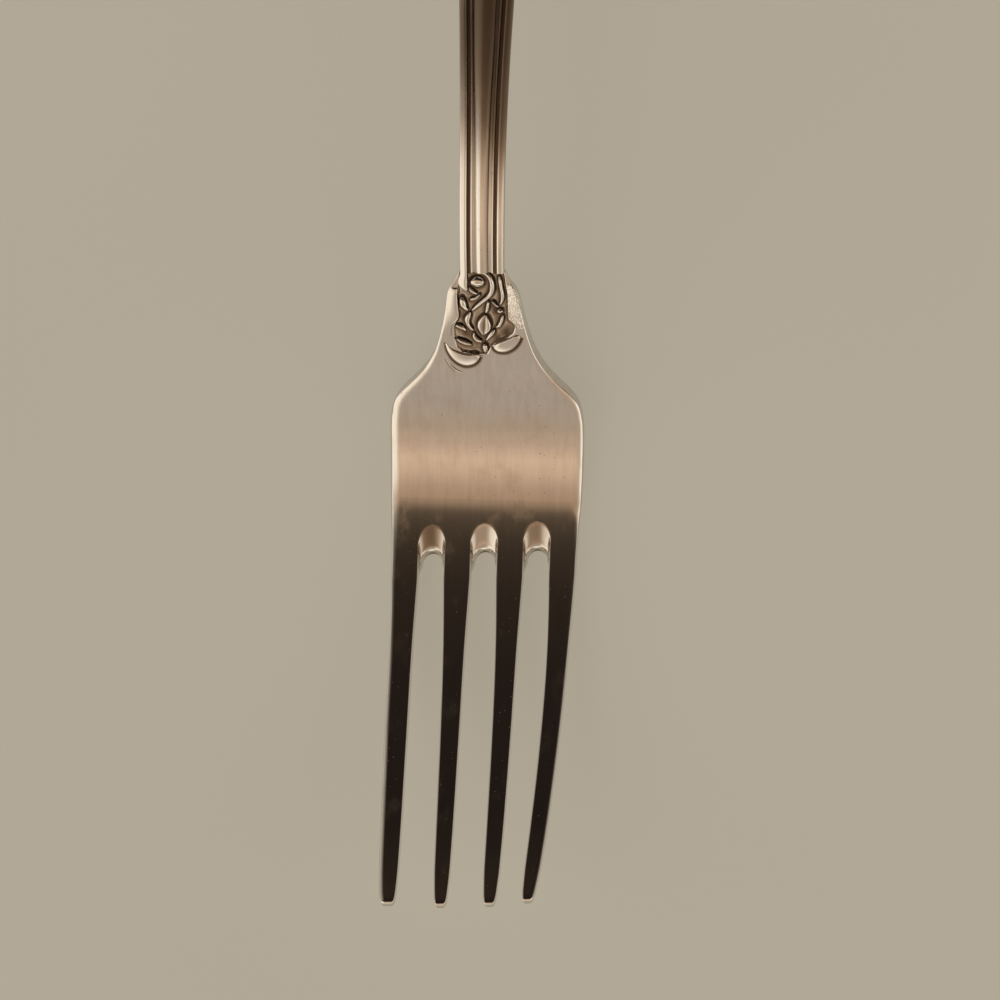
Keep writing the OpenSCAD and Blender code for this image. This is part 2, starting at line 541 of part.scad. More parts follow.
tine(0);  // tine_1
tine(1);  // tine_2
tine(2);  // tine_3
tine(3);  // tine_4
palm();
shoulder();
stem();
handle();
reed(-1);  // reed_left
reed(1);  // reed_right
thread(-1);  // thread_left
thread(1);  // thread_right
centre_rib();
wing(-1);  // wing_left
wing(1);  // wing_right
stroke(c_scroll_shares);  // c_scroll
stroke(upper_bead_shares);  // upper_bead
stroke(upper_petal_shares);  // upper_petal
stroke(upper_crescent_shares);  // upper_crescent
stroke(left_knob_shares);  // left_knob
stroke(left_leaf_shares);  // left_leaf
stroke(stalk_shares);  // stalk
stroke(centre_leaf_shares, cupped_shares);  // centre_leaf
stroke(left_lobe_shares);  // left_lobe
stroke(right_lobe_shares);  // right_lobe
stroke(right_twig_shares);  // right_twig
stroke(right_leaf_shares);  // right_leaf
stroke(ribbon_shares);  // ribbon
stroke(ribbon_knob_shares);  // ribbon_knob
stroke(left_curl_shares);  // left_curl
stroke(left_crescent_shares);  // left_crescent
stroke(left_cup_shares);  // left_cup
stroke(left_ridge_shares);  // left_ridge
stroke(right_cup_shares);  // right_cup
stroke(lower_bead_shares);  // lower_bead
stroke(end_place(end_leaf_shares, 1));  // end_leaf
stroke(end_place(end_scroll_shares, -1));  // end_scroll_left
stroke(end_place(end_scroll_shares, 1));  // end_scroll_right
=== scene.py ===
import math

import bmesh
import bpy
import numpy as np
from bpy.props import FloatProperty, FloatVectorProperty, PointerProperty
from mathutils import Matrix, Vector


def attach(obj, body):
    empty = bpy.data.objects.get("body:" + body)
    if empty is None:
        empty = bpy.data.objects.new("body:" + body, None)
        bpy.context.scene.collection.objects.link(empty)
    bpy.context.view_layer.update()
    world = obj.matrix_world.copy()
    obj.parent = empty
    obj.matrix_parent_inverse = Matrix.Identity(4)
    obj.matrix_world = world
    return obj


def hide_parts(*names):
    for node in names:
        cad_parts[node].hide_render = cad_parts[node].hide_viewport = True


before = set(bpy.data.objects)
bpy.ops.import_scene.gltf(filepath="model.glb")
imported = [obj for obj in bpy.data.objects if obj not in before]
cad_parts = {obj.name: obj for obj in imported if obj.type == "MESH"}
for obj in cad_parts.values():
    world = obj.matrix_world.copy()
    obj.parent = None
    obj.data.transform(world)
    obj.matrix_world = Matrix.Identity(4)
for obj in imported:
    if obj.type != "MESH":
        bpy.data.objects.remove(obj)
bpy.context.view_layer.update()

bl_info = {
    "name": "Silver dinner fork",
    "version": (1, 0, 0),
    "blender": (4, 5, 0),
    "location": "3D View > Sidebar > Fork",
    "description": "Dresses the solid model of a dinner fork as old silver and sets it on a plain floor",
    "category": "Object",
}

MM = 0.001
BODY = "root"


def length(name, about, millimetres):
    """A length that a user may change, kept in metres."""
    return FloatProperty(
        name=name, description=about, default=millimetres * MM, unit="LENGTH", precision=5
    )


def share(name, about, value):
    """A plain number between sizes, such as a share of a width."""
    return FloatProperty(name=name, description=about, default=value, precision=3)


def colour(name, about, value):
    """A linear colour."""
    return FloatVectorProperty(
        name=name, description=about, default=value, size=3, subtype="COLOR", min=0.0, soft_max=1.0
    )


class ForkSizes(bpy.types.PropertyGroup):
    """Sizes of the fork, as its solid model has them."""

    fork_l: length("Fork length", "Length of the whole fork", 195)
    head_w: length("Head width", "Width across the head at its widest", 26.3)
    arch_rise: length("Arch rise", "Rise of the handle's arch above the palm", 15.8)
    tip_rise: length("Tip rise", "Rise of the tine tips above the palm", 13)
    arch_at: length("Arch place", "Station of the top of the arch", 118.6)
    slot_l: length("Slot length", "Station of the slot ends on the back face", 46.1)
    scoop_l: length("Scoop length", "Length of the scoop above each slot end", 3.75)
    scoop_w: length("Scoop width", "Width of each scoop on the front face", 3.75)
    web_l: length("Web length", "Solid web between the scoops and the lowest line of the palm", 3.8)
    root_pitch: length("Root spacing", "Spacing of the tines at their roots", 7.16)
    tip_pitch: length("Tip spacing", "Spacing of the tines at their tips", 6.2)
    root_w: length("Root width", "Width of a tine where its slots start", 3.58)
    mid_w: length("Middle width", "Width of a tine halfway along", 2.6)
    point_w: length("Point width", "Width of a tine where its point starts", 2.16)
    tip_w: length("Tip width", "Width of the blunt end of a tine", 1.4)
    point_l: length("Point length", "Length over which a tine narrows to its blunt end", 5)
    tip_t: length("Tip thickness", "Thickness of a tine at its blunt end", 1.45)
    first_extra_w: length("First tine extra", "Extra width on the outer side of the first tine", 0.45)
    middle_reach: length("Middle reach", "How much further the two middle tines reach", 0.35)
    tine_round: length("Tine rounding", "Rounding of the tines' inner long edges", 0.24)
    outer_round: length("Outer rounding", "Rounding of the outer tines' outer edges", 0.7)
    palm_t: length("Palm thickness", "Thickness of the palm", 2.3)
    palm_round: length("Palm rounding", "Width of the rounding along the front edge of the palm", 1.3)
    shoulder_round: length("Shoulder rounding", "Width of the rounding beside the ornament", 0.4)
    shoulder_l: length("Shoulder length", "From the widest line of the head to the neck", 21)
    widest_l: length("Widest place", "From the lowest line of the palm to the widest line", 9)
    crest_l: length("Ornament length", "Length of the plate that carries the ornament", 12)
    crest_h: length("Ornament height", "Height of the tallest ornament", 0.6)
    crest_worn: share("Worn ornament", "Share of its height that the rubbed ornament keeps", 0.75)
    recess_d: length("Recess depth", "Depth of the ground beside the ornament", 0.22)
    halo_w: length("Recess reach", "How far the sunk ground reaches past the ornament", 0.34)
    wing_h: length("Wing height", "Height of the wings beside the ornament", 0.3)
    neck_w: length("Neck width", "Width of the neck", 5.85)
    neck_t: length("Neck thickness", "Thickness of the neck under its reeds", 3)
    handle_w: length("Handle width", "Widest width of the handle", 17.8)
    end_t: length("End thickness", "Thickness of the handle near its end", 1.6)
    end_arc_l: length("End length", "Length of the rounded handle end", 9)
    reed_w: length("Reed width", "Width of a border reed", 1.05)
    reed_h: length("Reed height", "Height of a border reed", 0.65)
    groove_w: length("Groove width", "Width of the groove beside a reed", 0.3)
    thread_w: length("Thread width", "Width of a thread", 0.42)
    thread_h: length("Thread height", "Height of a thread", 0.38)
    rib_w: length("Rib width", "Width of the centre rib at the neck", 1.7)
    rib_h: length("Rib height", "Height of the centre rib", 0.6)
    wear: length("Wear", "Wear that flattens the places the fork lies on", 0.08)


class SilverFinish(bpy.types.PropertyGroup):
    """Colours and polish of the silver."""

    clean: colour("Clean silver", "Colour of rubbed silver", (0.72, 0.685, 0.64))
    warm: colour("Warm silver", "Colour of lightly tarnished silver", (0.58, 0.50, 0.42))
    # The dark colour is also used for painted shade and painted dark reflection where the tarnish attribute
    # holds them
    tarnish_and_shade: colour("Tarnish", "Colour of the oxide in the recesses", (0.07, 0.043, 0.026))
    polish: share("Roughness", "Roughness of the rubbed faces", 0.065)
    relief_polish: share("Relief roughness", "Roughness of the raised ornament", 0.12)
    # The brown colour is also used for painted shade and painted dark reflection where the tarnish attribute
    # holds them
    brown: colour("Brown tarnish", "Colour of silver halfway to its dark oxide", (0.31, 0.245, 0.185))
    streaks: share("Streaks", "Strength of the fine streaks along the fork", 0.5)
    dust: colour("Dust", "Colour of the specks of dust", (0.22, 0.19, 0.155))


class StudioLight(bpy.types.PropertyGroup):
    """Camera and light of the little studio."""

    camera_d: length("Camera distance", "Distance from the camera to the palm", 430)
    camera_roll: share("Camera roll", "Degrees that the camera stands to the right of the fork", 6.5)
    camera_turn: share("Camera turn", "Degrees that the picture is turned", 1.76)
    frame_w: length("Frame width", "Width that the picture shows at the palm", 135.4)
    frame_side: length("Frame offset", "Picture centre to the right of the fork's axis", 1.96)
    floor: colour("Floor", "Colour of the floor", (0.79, 0.82, 0.81))
    backdrop: colour("Background", "Colour of the floor where no shadow lies", (0.462, 0.413, 0.323))
    backdrop_share: share("Background share", "How much of the seen floor is that colour", 0.65)
    level: share("Light level", "Strength of the surrounding light", 1.25)


class Form:
    """The fork's shape at its stations. A station is a distance from the tine tips along the fork."""

    # Height shares of the climb from the palm to the arch, with one place past each end
    CLIMB = [
        (-0.1, 0.045), (0, 0), (0.1, 0.045), (0.19, 0.17), (0.34, 0.5), (0.5, 0.79), (0.66, 0.93),
        (0.82, 0.985), (1, 1), (1.18, 0.985),
    ]
    # Height shares of the handle's fall from the arch to its end, with one place past each end
    FALL = [
        (-0.14, 0.03), (0, 0), (0.14, 0.03), (0.32, 0.18), (0.55, 0.53), (0.75, 0.83), (0.9, 0.985),
        (1, 1), (1.1, 0.995),
    ]
    # Shares of the way from the neck's width to the head's, from the widest line to the neck
    SHOULDER = [
        (0, 1), (0.06, 0.996), (0.11, 0.98), (0.16, 0.957), (0.21, 0.904), (0.26, 0.81), (0.31, 0.688),
        (0.36, 0.573), (0.41, 0.479), (0.46, 0.407), (0.51, 0.35), (0.61, 0.276), (0.71, 0.223),
        (0.81, 0.188), (0.86, 0.165), (0.905, 0.122), (0.95, 0.051), (1, 0),
    ]
    # Shares by which the handle widens from its neck to its widest line
    WIDEN = [
        (0, 0), (0.18, 0.02), (0.32, 0.09), (0.49, 0.23), (0.66, 0.465), (0.82, 0.75),
        (0.94, 0.955), (1, 1),
    ]
    LEANS = (-0.45 * MM, 0.2 * MM, 0.45 * MM, -0.75 * MM)
    ROOT_SHARE = 0.978
    SHOULDER_TOP_SHARE = 1.06
    SKEW_SHARE = 0.06
    CROWN_SHARE = 0.45
    BACK_ROUND_SHARE = 0.55
    ROUND_SHARE = 0.35
    FIELD_TOP_SHARE = 2.667
    FIELD_FOOT_SHARE = 0.825
    FIELD_FOOT_AT_SHARE = 0.35
    CORE_ROUND_SHARE = 0.9
    CORE_EDGE_SHARE = 0.2
    # How far the thickness has gone to its next value: at the slots, at the ornament's foot and at the arch
    SLOT_T_SHARE = 0.9
    CREST_T_SHARE = 0.35
    ARCH_T_SHARE = 0.15
    # Rate and start at which the plate's section turns into the stem's over the ornament
    NECKED_RATE, NECKED_START = 1.6, 0.6

    def __init__(self, size):
        self.size = size
        self.scoop_at = size.slot_l + size.scoop_l
        self.low_at = self.scoop_at + size.web_l
        self.widest_at = self.low_at + size.widest_l
        self.neck_at = self.widest_at + size.shoulder_l
        self.crest_at = self.neck_at - size.crest_l - size.rib_w / 2
        self.tip_over = size.tip_t * math.sin(math.atan(2 * size.tip_rise / self.low_at))
        self.end_at = size.fork_l - self.tip_over
        self.end_arc_at = self.end_at - size.end_arc_l
        self.leg_at = size.slot_l - size.scoop_w
        self.first_tip = self.LEANS[0] - 1.5 * size.tip_pitch
        self.field_top = (size.neck_w / 2 - size.reed_w) * self.FIELD_TOP_SHARE
        foot_at = self.crest_at + size.crest_l * self.FIELD_FOOT_AT_SHARE
        self.field_foot = float(self.head_half(foot_at)) * self.FIELD_FOOT_SHARE

    def rise(self, s):
        """Height of the front face along the middle of the fork."""
        size = self.size
        tines = size.tip_rise * (1 - s / self.low_at) ** 2
        climb = size.arch_rise * cubic(self.CLIMB, (s - self.low_at) / (size.arch_at - self.low_at))
        fall = mix(
            size.arch_rise, size.end_t - size.palm_t,
            cubic(self.FALL, (s - size.arch_at) / (self.end_at - size.arch_at)),
        )
        return np.where(s < self.low_at, tines, np.where(s < size.arch_at, climb, fall))

    def head_half(self, s):
        """Half of the head's width."""
        size = self.size
        grow = ease((s - size.slot_l) / (self.widest_at - size.slot_l))
        top = size.neck_w * self.SHOULDER_TOP_SHARE
        shoulder = mix(top, size.head_w, cubic(self.SHOULDER, (s - self.widest_at) / size.shoulder_l))
        return np.where(s < self.widest_at, size.head_w * mix(self.ROOT_SHARE, 1, grow), shoulder) / 2

    def handle_half(self, s):
        """Half of the stem's and handle's width."""
        size = self.size
        widen = cubic(self.WIDEN, (s - self.neck_at) / (self.end_arc_at - self.neck_at))
        end = np.sqrt(np.maximum(1 - ((s - self.end_arc_at) / size.end_arc_l) ** 2, 0))
        return np.where(s <= self.end_arc_at, mix(size.neck_w, size.handle_w, widen), size.handle_w * end) / 2

    def thickness(self, s):
        """Thickness under the front face."""
        size = self.size
        return cubic([
            (0, size.tip_t), (size.slot_l, mix(size.tip_t, size.palm_t, self.SLOT_T_SHARE)),
            (self.widest_at, size.palm_t),
            (self.crest_at, mix(size.palm_t, size.neck_t, self.CREST_T_SHARE)),
            (self.neck_at, size.neck_t), (size.arch_at, mix(size.neck_t, size.end_t, self.ARCH_T_SHARE)),
            (self.end_arc_at, size.end_t), (self.end_at, size.end_t),
        ], s)

    def at(self, s, across, out):
        """Points at stations, across the fork and out of its front face, never below the floor."""
        size = self.size
        s, across, out = np.broadcast_arrays(np.asarray(s, float), across, out)
        s = s + self.SKEW_SHARE * (across - self.first_tip) * ease((self.low_at - s) / size.web_l)
        slope = (self.rise(s + size.wear) - self.rise(s - size.wear)) / (2 * size.wear)
        flat = np.sqrt(1 + slope ** 2)
        y = s + self.tip_over - size.fork_l / 2 - out * slope / flat
        z = np.maximum(size.palm_t - size.wear + self.rise(s) + out / flat, 0)
        return np.stack([across, y, z], axis=-1)

    def edge_round(self, s):
        """Width of the rounding along the front edge of the palm and shoulder."""
        size = self.size
        reach = self.crest_at + size.crest_l * self.ROUND_SHARE - self.widest_at
        return mix(size.palm_round, size.shoulder_round, ease((s - self.widest_at) / reach))

    def necked(self, s):
        """How far the plate's section has become the stem's."""
        along = (s - self.crest_at) / (self.neck_at - self.crest_at)
        return ease(along * self.NECKED_RATE - self.NECKED_START)

    def crown(self, s):
        """Width and depth of the rounding along the plate's front edge; hardly any is left at the neck."""
        neck = self.necked(s)
        round_w = mix(self.edge_round(s), self.size.wear, neck)
        return round_w * mix(self.flare(s), 1, neck), round_w * self.CROWN_SHARE

    def field_half(self, along):
        """Half width that the ornament is placed in, at a share of its length."""
        return mix(self.field_foot, self.field_top, ease(along))

    def flare(self, s):
        """How much longer the head's edge is than its station."""
        d = self.size.wear
        return np.sqrt(1 + ((self.head_half(s + d) - self.head_half(s - d)) / (2 * d)) ** 2)


def mix(a, b, k):
    return a + (b - a) * k


def ease(k):
    k = np.clip(k, 0, 1)
    return k * k * (3 - 2 * k)


def cubic(table, x):
    """Smooth curve through a table of places and values, with the neighbours' slope at each."""
    places, values = np.array(table, float).T
    x = np.clip(x, places[0], places[-1])
    i = np.clip(np.searchsorted(places, x, side="right") - 1, 0, len(places) - 2)
    before = np.maximum(np.arange(len(places)) - 1, 0)
    after = np.minimum(np.arange(len(places)) + 1, len(places) - 1)
    slopes = (values[after] - values[before]) / (places[after] - places[before])
    h = places[i + 1] - places[i]
    k = (x - places[i]) / h
    return (
        (2 * k ** 3 - 3 * k ** 2 + 1) * values[i] + (k ** 3 - 2 * k ** 2 + k) * slopes[i] * h
        + (3 * k ** 2 - 2 * k ** 3) * values[i + 1] + (k ** 3 - k ** 2) * slopes[i + 1] * h
    )


def listed(values, x):
    """Smooth curve through values that are one step apart."""
    return cubic(list(enumerate(values)), x)


def deselect():
    if bpy.context.object and bpy.context.object.mode != "OBJECT":
        bpy.ops.object.mode_set(mode="OBJECT")
    bpy.ops.object.select_all(action="DESELECT")


# Distance over which points are joined, and the angle up to which faces are shaded smooth
JOIN_D = 1e-6
SMOOTH_ANGLE = math.radians(38)


def rolled(name, rings, tarnish_and_shade, node, finish):
    """A sheet with one row of faces a ring, rolled into a tube, seamed, its two ends filled."""
    rings = np.concatenate([rings, rings[:, :1]], axis=1)
    rows, columns = rings.shape[:2]
    tarnish_and_shade = np.broadcast_to(tarnish_and_shade, (rows, columns - 1))
    tarnish_and_shade = np.concatenate([tarnish_and_shade, tarnish_and_shade[:, :1]], axis=1)
    deselect()
    bpy.ops.mesh.primitive_grid_add(x_subdivisions=columns - 1, y_subdivisions=rows - 1, size=1)
    piece = bpy.context.object
    piece.name = name
    mesh = piece.data
    mesh.name = name
    while mesh.uv_layers:
        mesh.uv_layers.remove(mesh.uv_layers[0])
    if len(mesh.vertices) != rows * columns:
        raise RuntimeError(f"{name}: the sheet has {len(mesh.vertices)} points and not {rows * columns}")
    mesh.vertices.foreach_set("co", rings.reshape(-1).astype(np.float32))
    # The tarnish attribute holds oxide, and on some pieces painted shade and painted dark reflection
    mesh.attributes.new("tarnish_and_shade", "FLOAT", "POINT")
    mesh.attributes["tarnish_and_shade"].data.foreach_set("value", tarnish_and_shade.reshape(-1).astype(np.float32))
    mesh.update()
    bpy.ops.object.mode_set(mode="EDIT")
    bpy.ops.mesh.select_all(action="SELECT")
    bpy.ops.mesh.remove_doubles(threshold=JOIN_D)
    bpy.ops.mesh.select_all(action="SELECT")
    bpy.ops.mesh.fill_holes(sides=0)
    bpy.ops.mesh.select_all(action="SELECT")
    bpy.ops.mesh.normals_make_consistent(inside=False)
    if bmesh.from_edit_mesh(mesh).calc_volume(signed=True) < 0:
        bpy.ops.mesh.flip_normals()
    bpy.ops.object.mode_set(mode="OBJECT")
    bpy.ops.object.shade_smooth_by_angle(angle=SMOOTH_ANGLE)
    piece.data.materials.clear()
    piece.data.materials.append(finish)
    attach(piece, BODY)
    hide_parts(node)
    return piece


# Sides of the plates: points from the front face, round the edge and on to the back

ARC_STEPS = 7
SIDE_STEPS = 3 * ARC_STEPS


def side_points(front_r, crown, edge_d, back_r, thick):
    """Inset from the side and depth under the front, in SIDE_STEPS steps, for arrays of sizes."""
    turn = np.linspace(0, math.pi / 2, ARC_STEPS + 1)
    flat = np.linspace(0, 1, ARC_STEPS + 1)[1:]
    front_r, crown, edge_d, back_r, thick = (
        np.asarray(v, float)[..., None] for v in np.broadcast_arrays(front_r, crown, edge_d, back_r, thick)
    )
    inset = [front_r * (1 - np.sin(turn)), 0 * front_r * flat, back_r * (1 - np.cos(turn[1:]))]
    depth = [crown * (1 - np.cos(turn)), mix(crown, edge_d, flat), mix(edge_d, thick, np.sin(turn[1:]))]
    return np.concatenate(inset, axis=-1), np.concatenate(depth, axis=-1)


def crowned_side(round_w, thick):
    """Side with a shallow crown at its front corner and a round back corner."""
    back_r = round_w * Form.BACK_ROUND_SHARE
    return side_points(round_w, round_w * Form.CROWN_SHARE, thick - back_r, back_r, thick)


# Tines

WEB_ROWS = 16
ARCH_ROWS = 30
LEG_ROWS = 24
TINE_ROWS = 90
# Height of each round slot end as a share of its width: on the front, then on the back
SPRING_SHARES = (0.74, 0.4)
BACK_WIDTH_SHARE = 0.72
# Shares of the way through a scoop, from its edge on the front to the slot end on the back
NEST_SHARES = (0, 0.04, 0.12, 0.35, 0.62, 0.78, 0.92, 0.97, 1)
SINK_SHARES = (0, 0.006, 0.04, 0.17, 0.32, 0.39, 0.575, 0.8, 1)
# Share at which the oxide and painted shade of a scoop have gone, just before the lip
LIP_SHARE = 0.82
# Sizes of the last rings as shares of the blunt end
BLUNT_SHARES = (
    (0.035, 1), (0.025, 0.98), (0.019, 0.95), (0.013, 0.9), (0.0085, 0.83), (0.005, 0.74), (0.0025, 0.65),
    (0.001, 0.56), (0, 0.48),
)
# Where the point has part of its width, and where the tine starts to flare towards its root, as shares
POINT_SHARES = (0.3, 0.47)
# How far the front face bends down round the tip, as a share of the tip's thickness, and how much of the
# blunt end's narrowing its thickness takes
TIP_BEND_SHARE = 1.1
BLUNT_T_SHARE = 0.8
FLARE_SHARES = (0.78, 0.34)
FACE_COLUMNS = 10
# First step of the scoops' arches, so that their halves meet evenly
SEAM_TURN = 0.01
# Oxide in the scoops with painted shade: at the middle of each, and painted shade on their left flanks and on
# their right ones, the left ones darker
SCOOP_OXIDE_AND_SHADE = (0.72, 0.22, 0.45)
FLANK_PAINTED_SHADE = {1: 0.3, -1: 0.0}
# Where the lip ends, and the dark line under it at the middle of the slot end
LIP_END = 0.93
UNDER_LIP_DARK = 0.9
# How fast the oxide and painted shade of a scoop end at its lip, and how fast the dark line under the lip
# starts
LIP_FADE = 8
UNDER_LIP_FADE = 20


def tine_rows(form):
    """Rows down a tine: front station, back station, front half gap, back half gap, blend, size."""
    size = form.size
    leg_at = form.leg_at
    front_spring = form.scoop_at - size.scoop_w * SPRING_SHARES[0]
    back_spring = size.slot_l - size.scoop_w * SPRING_SHARES[1]
    back_half = size.scoop_w / 2 * BACK_WIDTH_SHARE
    slot_half = (size.root_pitch - size.root_w) / 2
    rows = [
        (mix(form.low_at, form.scoop_at, k), mix(form.low_at, size.slot_l, k), 0, 0, 0, 1)
        for k in np.linspace(0, 1, WEB_ROWS, endpoint=False)
    ]
    for q in np.append(0.0, np.linspace(SEAM_TURN, math.pi / 2, ARCH_ROWS)):
        rows.append((
            mix(front_spring, form.scoop_at, math.cos(q)), mix(back_spring, size.slot_l, math.cos(q)),
            size.scoop_w / 2 * math.sin(q), back_half * math.sin(q), 0, 1,
        ))
    for k in np.linspace(0, 1, LEG_ROWS + 1)[1:]:
        rows.append((
            mix(front_spring, leg_at, k), mix(back_spring, leg_at, k),
            mix(size.scoop_w / 2, slot_half, k), mix(back_half, slot_half, k), float(ease(k)), 1,
        ))
    for k in np.linspace(1, BLUNT_SHARES[0][0], TINE_ROWS, endpoint=False)[1:]:
        rows.append((leg_at * k, leg_at * k, 0, 0, 1, 1))
    rows += [(leg_at * k, leg_at * k, 0, 0, 1, shrink) for k, shrink in BLUNT_SHARES]
    return np.array(rows, float)


def tine_width(form, s):
    size = form.size
    return cubic([
        (0, size.tip_w), (size.point_l * POINT_SHARES[0], mix(size.tip_w, size.point_w, POINT_SHARES[1])),
        (size.point_l, size.point_w), (form.leg_at / 2, size.mid_w),
        (form.leg_at * FLARE_SHARES[0], mix(size.mid_w, size.root_w, FLARE_SHARES[1])),
        (form.leg_at, size.root_w),
    ], s)


def tine_middle(form, k, s):
    lean = np.maximum(1 - s / form.size.slot_l, 0) ** 2
    return (k - 1.5) * mix(form.size.root_pitch, form.size.tip_pitch, lean) + form.LEANS[k] * lean


def outer_side(form, k, s, shrink):
    """Outer side of the first and last tines: it leaves the head's edge and becomes the tine's own."""
    size = form.size
    side = -1 if k == 0 else 1
    thick = form.thickness(s) * mix(1, shrink, BLUNT_T_SHARE)
    blend = ease((form.low_at - s) / (form.low_at - form.leg_at))
    extra = size.first_extra_w * ease((form.leg_at - s) / (form.leg_at / 2)) if k == 0 else 0
    inset, depth = crowned_side((mix(size.palm_round, size.outer_round, blend) * shrink)[:, 0], thick[:, 0])
    free = side * tine_middle(form, k, s) + (tine_width(form, s) / 2 + extra) * shrink
    return side * (mix(form.head_half(s), free, blend) - inset), depth * thick / thick[:, :1]


def inner_side(form, k, s, rows, side, nest, sink):
    """Side along a slot: the scoop's wall, then the tine's own side."""
    size = form.size
    front_gap, back_gap, blend, shrink = (rows[:, c, None] for c in range(2, 6))
    thick = form.thickness(s) * mix(1, shrink, BLUNT_T_SHARE)
    inset, depth = crowned_side((size.tine_round * shrink)[:, 0], thick[:, 0])
    free = tine_middle(form, k, s) + side * (tine_width(form, s) / 2 * shrink - inset)
    bound = (k - 1.5 + side / 2) * size.root_pitch - side * mix(front_gap, back_gap, nest)
    return mix(bound, free, blend), mix(thick * sink, depth * thick / thick[:, :1], blend)


def scoop_shade(nest):
    """Oxide and painted shade through a scoop, from just inside its rim up to its lip."""
    return np.where(nest > 0, ease((LIP_SHARE - nest) * LIP_FADE), 0)


def tine_side(form, k, rows, side):
    """Stations, places across, depths and tarnish with the scoops' painted shade, of one side of a tine, for
    every row.
    """
    x = np.linspace(0, len(NEST_SHARES) - 1, SIDE_STEPS + 1)[None]
    nest, sink = listed(NEST_SHARES, x), listed(SINK_SHARES, x)
    flank = rows[:, 2, None] / (form.size.scoop_w / 2)
    s = mix(rows[:, 0, None], rows[:, 1, None], nest)
    if (k == 0 and side < 0) or (k == 3 and side > 0):
        across, depth = outer_side(form, k, s, rows[:, 5, None])
        dark = 0 * s
    else:
        across, depth = inner_side(form, k, s, rows, side, nest, sink)
        dark = (rows[:, 1, None] <= form.size.slot_l) * ease(1 - rows[:, 4, None])
        # Oxide in each scoop, with painted shade: one flank darker than the other, dark right up to the rim
        scoop = SCOOP_OXIDE_AND_SHADE[k if side > 0 else k - 1]
        shade = mix(scoop, FLANK_PAINTED_SHADE[side], flank ** 2) * scoop_shade(nest)
        dark = dark * (shade + UNDER_LIP_DARK * (1 - flank) * ease((nest - LIP_END) * UNDER_LIP_FADE))
    return s, across, depth, dark


def between(first, last, columns):
    """Points between two columns of points, without those two."""
    k = np.linspace(0, 1, columns + 2)[None, 1:-1]
    return mix(first[:, None], last[:, None], k)


def band(front, side_a, back, side_b):
    """One closed ring a row: front face, one side, back face, other side."""
    return np.concatenate([front, side_a, back, side_b], axis=1)


def tine_rings(form, k):
    rows = tine_rows(form)
    left = tine_side(form, k, rows, -1)
    right = tine_side(form, k, rows, 1)
    parts = []
    for a, b in zip(left, right):
        front = between(a[:, 0], b[:, 0], FACE_COLUMNS)
        back = between(b[:, -1], a[:, -1], FACE_COLUMNS)
        parts.append(band(front, b, back, a[:, ::-1]))
    s, across, depth, dark = parts
    bend = TIP_BEND_SHARE * form.size.tip_t * (1 - rows[:, 5, None]) ** 2
    s, depth = s + bend / 2, depth + bend
    if k in (1, 2):
        s = s - form.size.middle_reach * np.maximum(1 - s / form.leg_at, 0)
    return form.at(s, across, -depth), dark


def build_tines(form, silver):
    for k in range(4):
        rings, dark = tine_rings(form, k)
        rolled(f"struck_tine_{k + 1}", rings, dark, f"tine_{k + 1}", silver)


# Palm and shoulder

PALM_ROWS = 90
SHOULDER_ROWS = 130
PALM_COLUMNS = 40
SHOULDER_COLUMNS = 110
SEAM_STEP_SHARE = 0.02


def row_places(first, last, rows):
    """Stations of rows, with one row close to each end so that the shading runs on past the seam."""
    k = np.linspace(0, 1, rows)
    near = SEAM_STEP_SHARE / rows
    return mix(first, last, np.concatenate([[0, near], k[1:-1], [1 - near, 1]]))


def plate_rings(form, s, columns, sink=None):
    """Rings of the palm and shoulder; near the neck their section turns into the stem's."""
    size = form.size
    half, thick = form.head_half(s), form.thickness(s)
    neck = form.necked(s)
    crown_w, crown_d = form.crown(s)
    round_back = form.edge_round(s) * Form.BACK_ROUND_SHARE
    edge_d = mix(thick - round_back, thick * Form.CORE_EDGE_SHARE, neck)
    back_r = mix(round_back, np.minimum(half, thick * Form.CORE_ROUND_SHARE), neck)
    inset, depth = side_points(crown_w, np.minimum(crown_d, edge_d), edge_d, back_r, thick)
    side = half[:, None] - inset
    front_x = between(-side[:, 0], side[:, 0], columns)
    back_x = between(side[:, -1], -side[:, -1], FACE_COLUMNS)
    front_d = np.zeros_like(front_x)
    if sink is not None:
        front_d = sink(s[:, None] + 0 * front_x, front_x)
    across = band(front_x, side, back_x, -side[:, ::-1])
    deep = band(front_d, depth, 0 * back_x + thick[:, None], depth[:, ::-1])
    return form.at(s[:, None], across, -deep), front_x


def build_palm(form, silver):
    rings, _ = plate_rings(form, row_places(form.crest_at, form.low_at, PALM_ROWS), PALM_COLUMNS)
    rolled("struck_palm", rings, 0.0, "palm", silver)


# Ornament: rows of shares [across, along, half width, height] of the crest's sizes

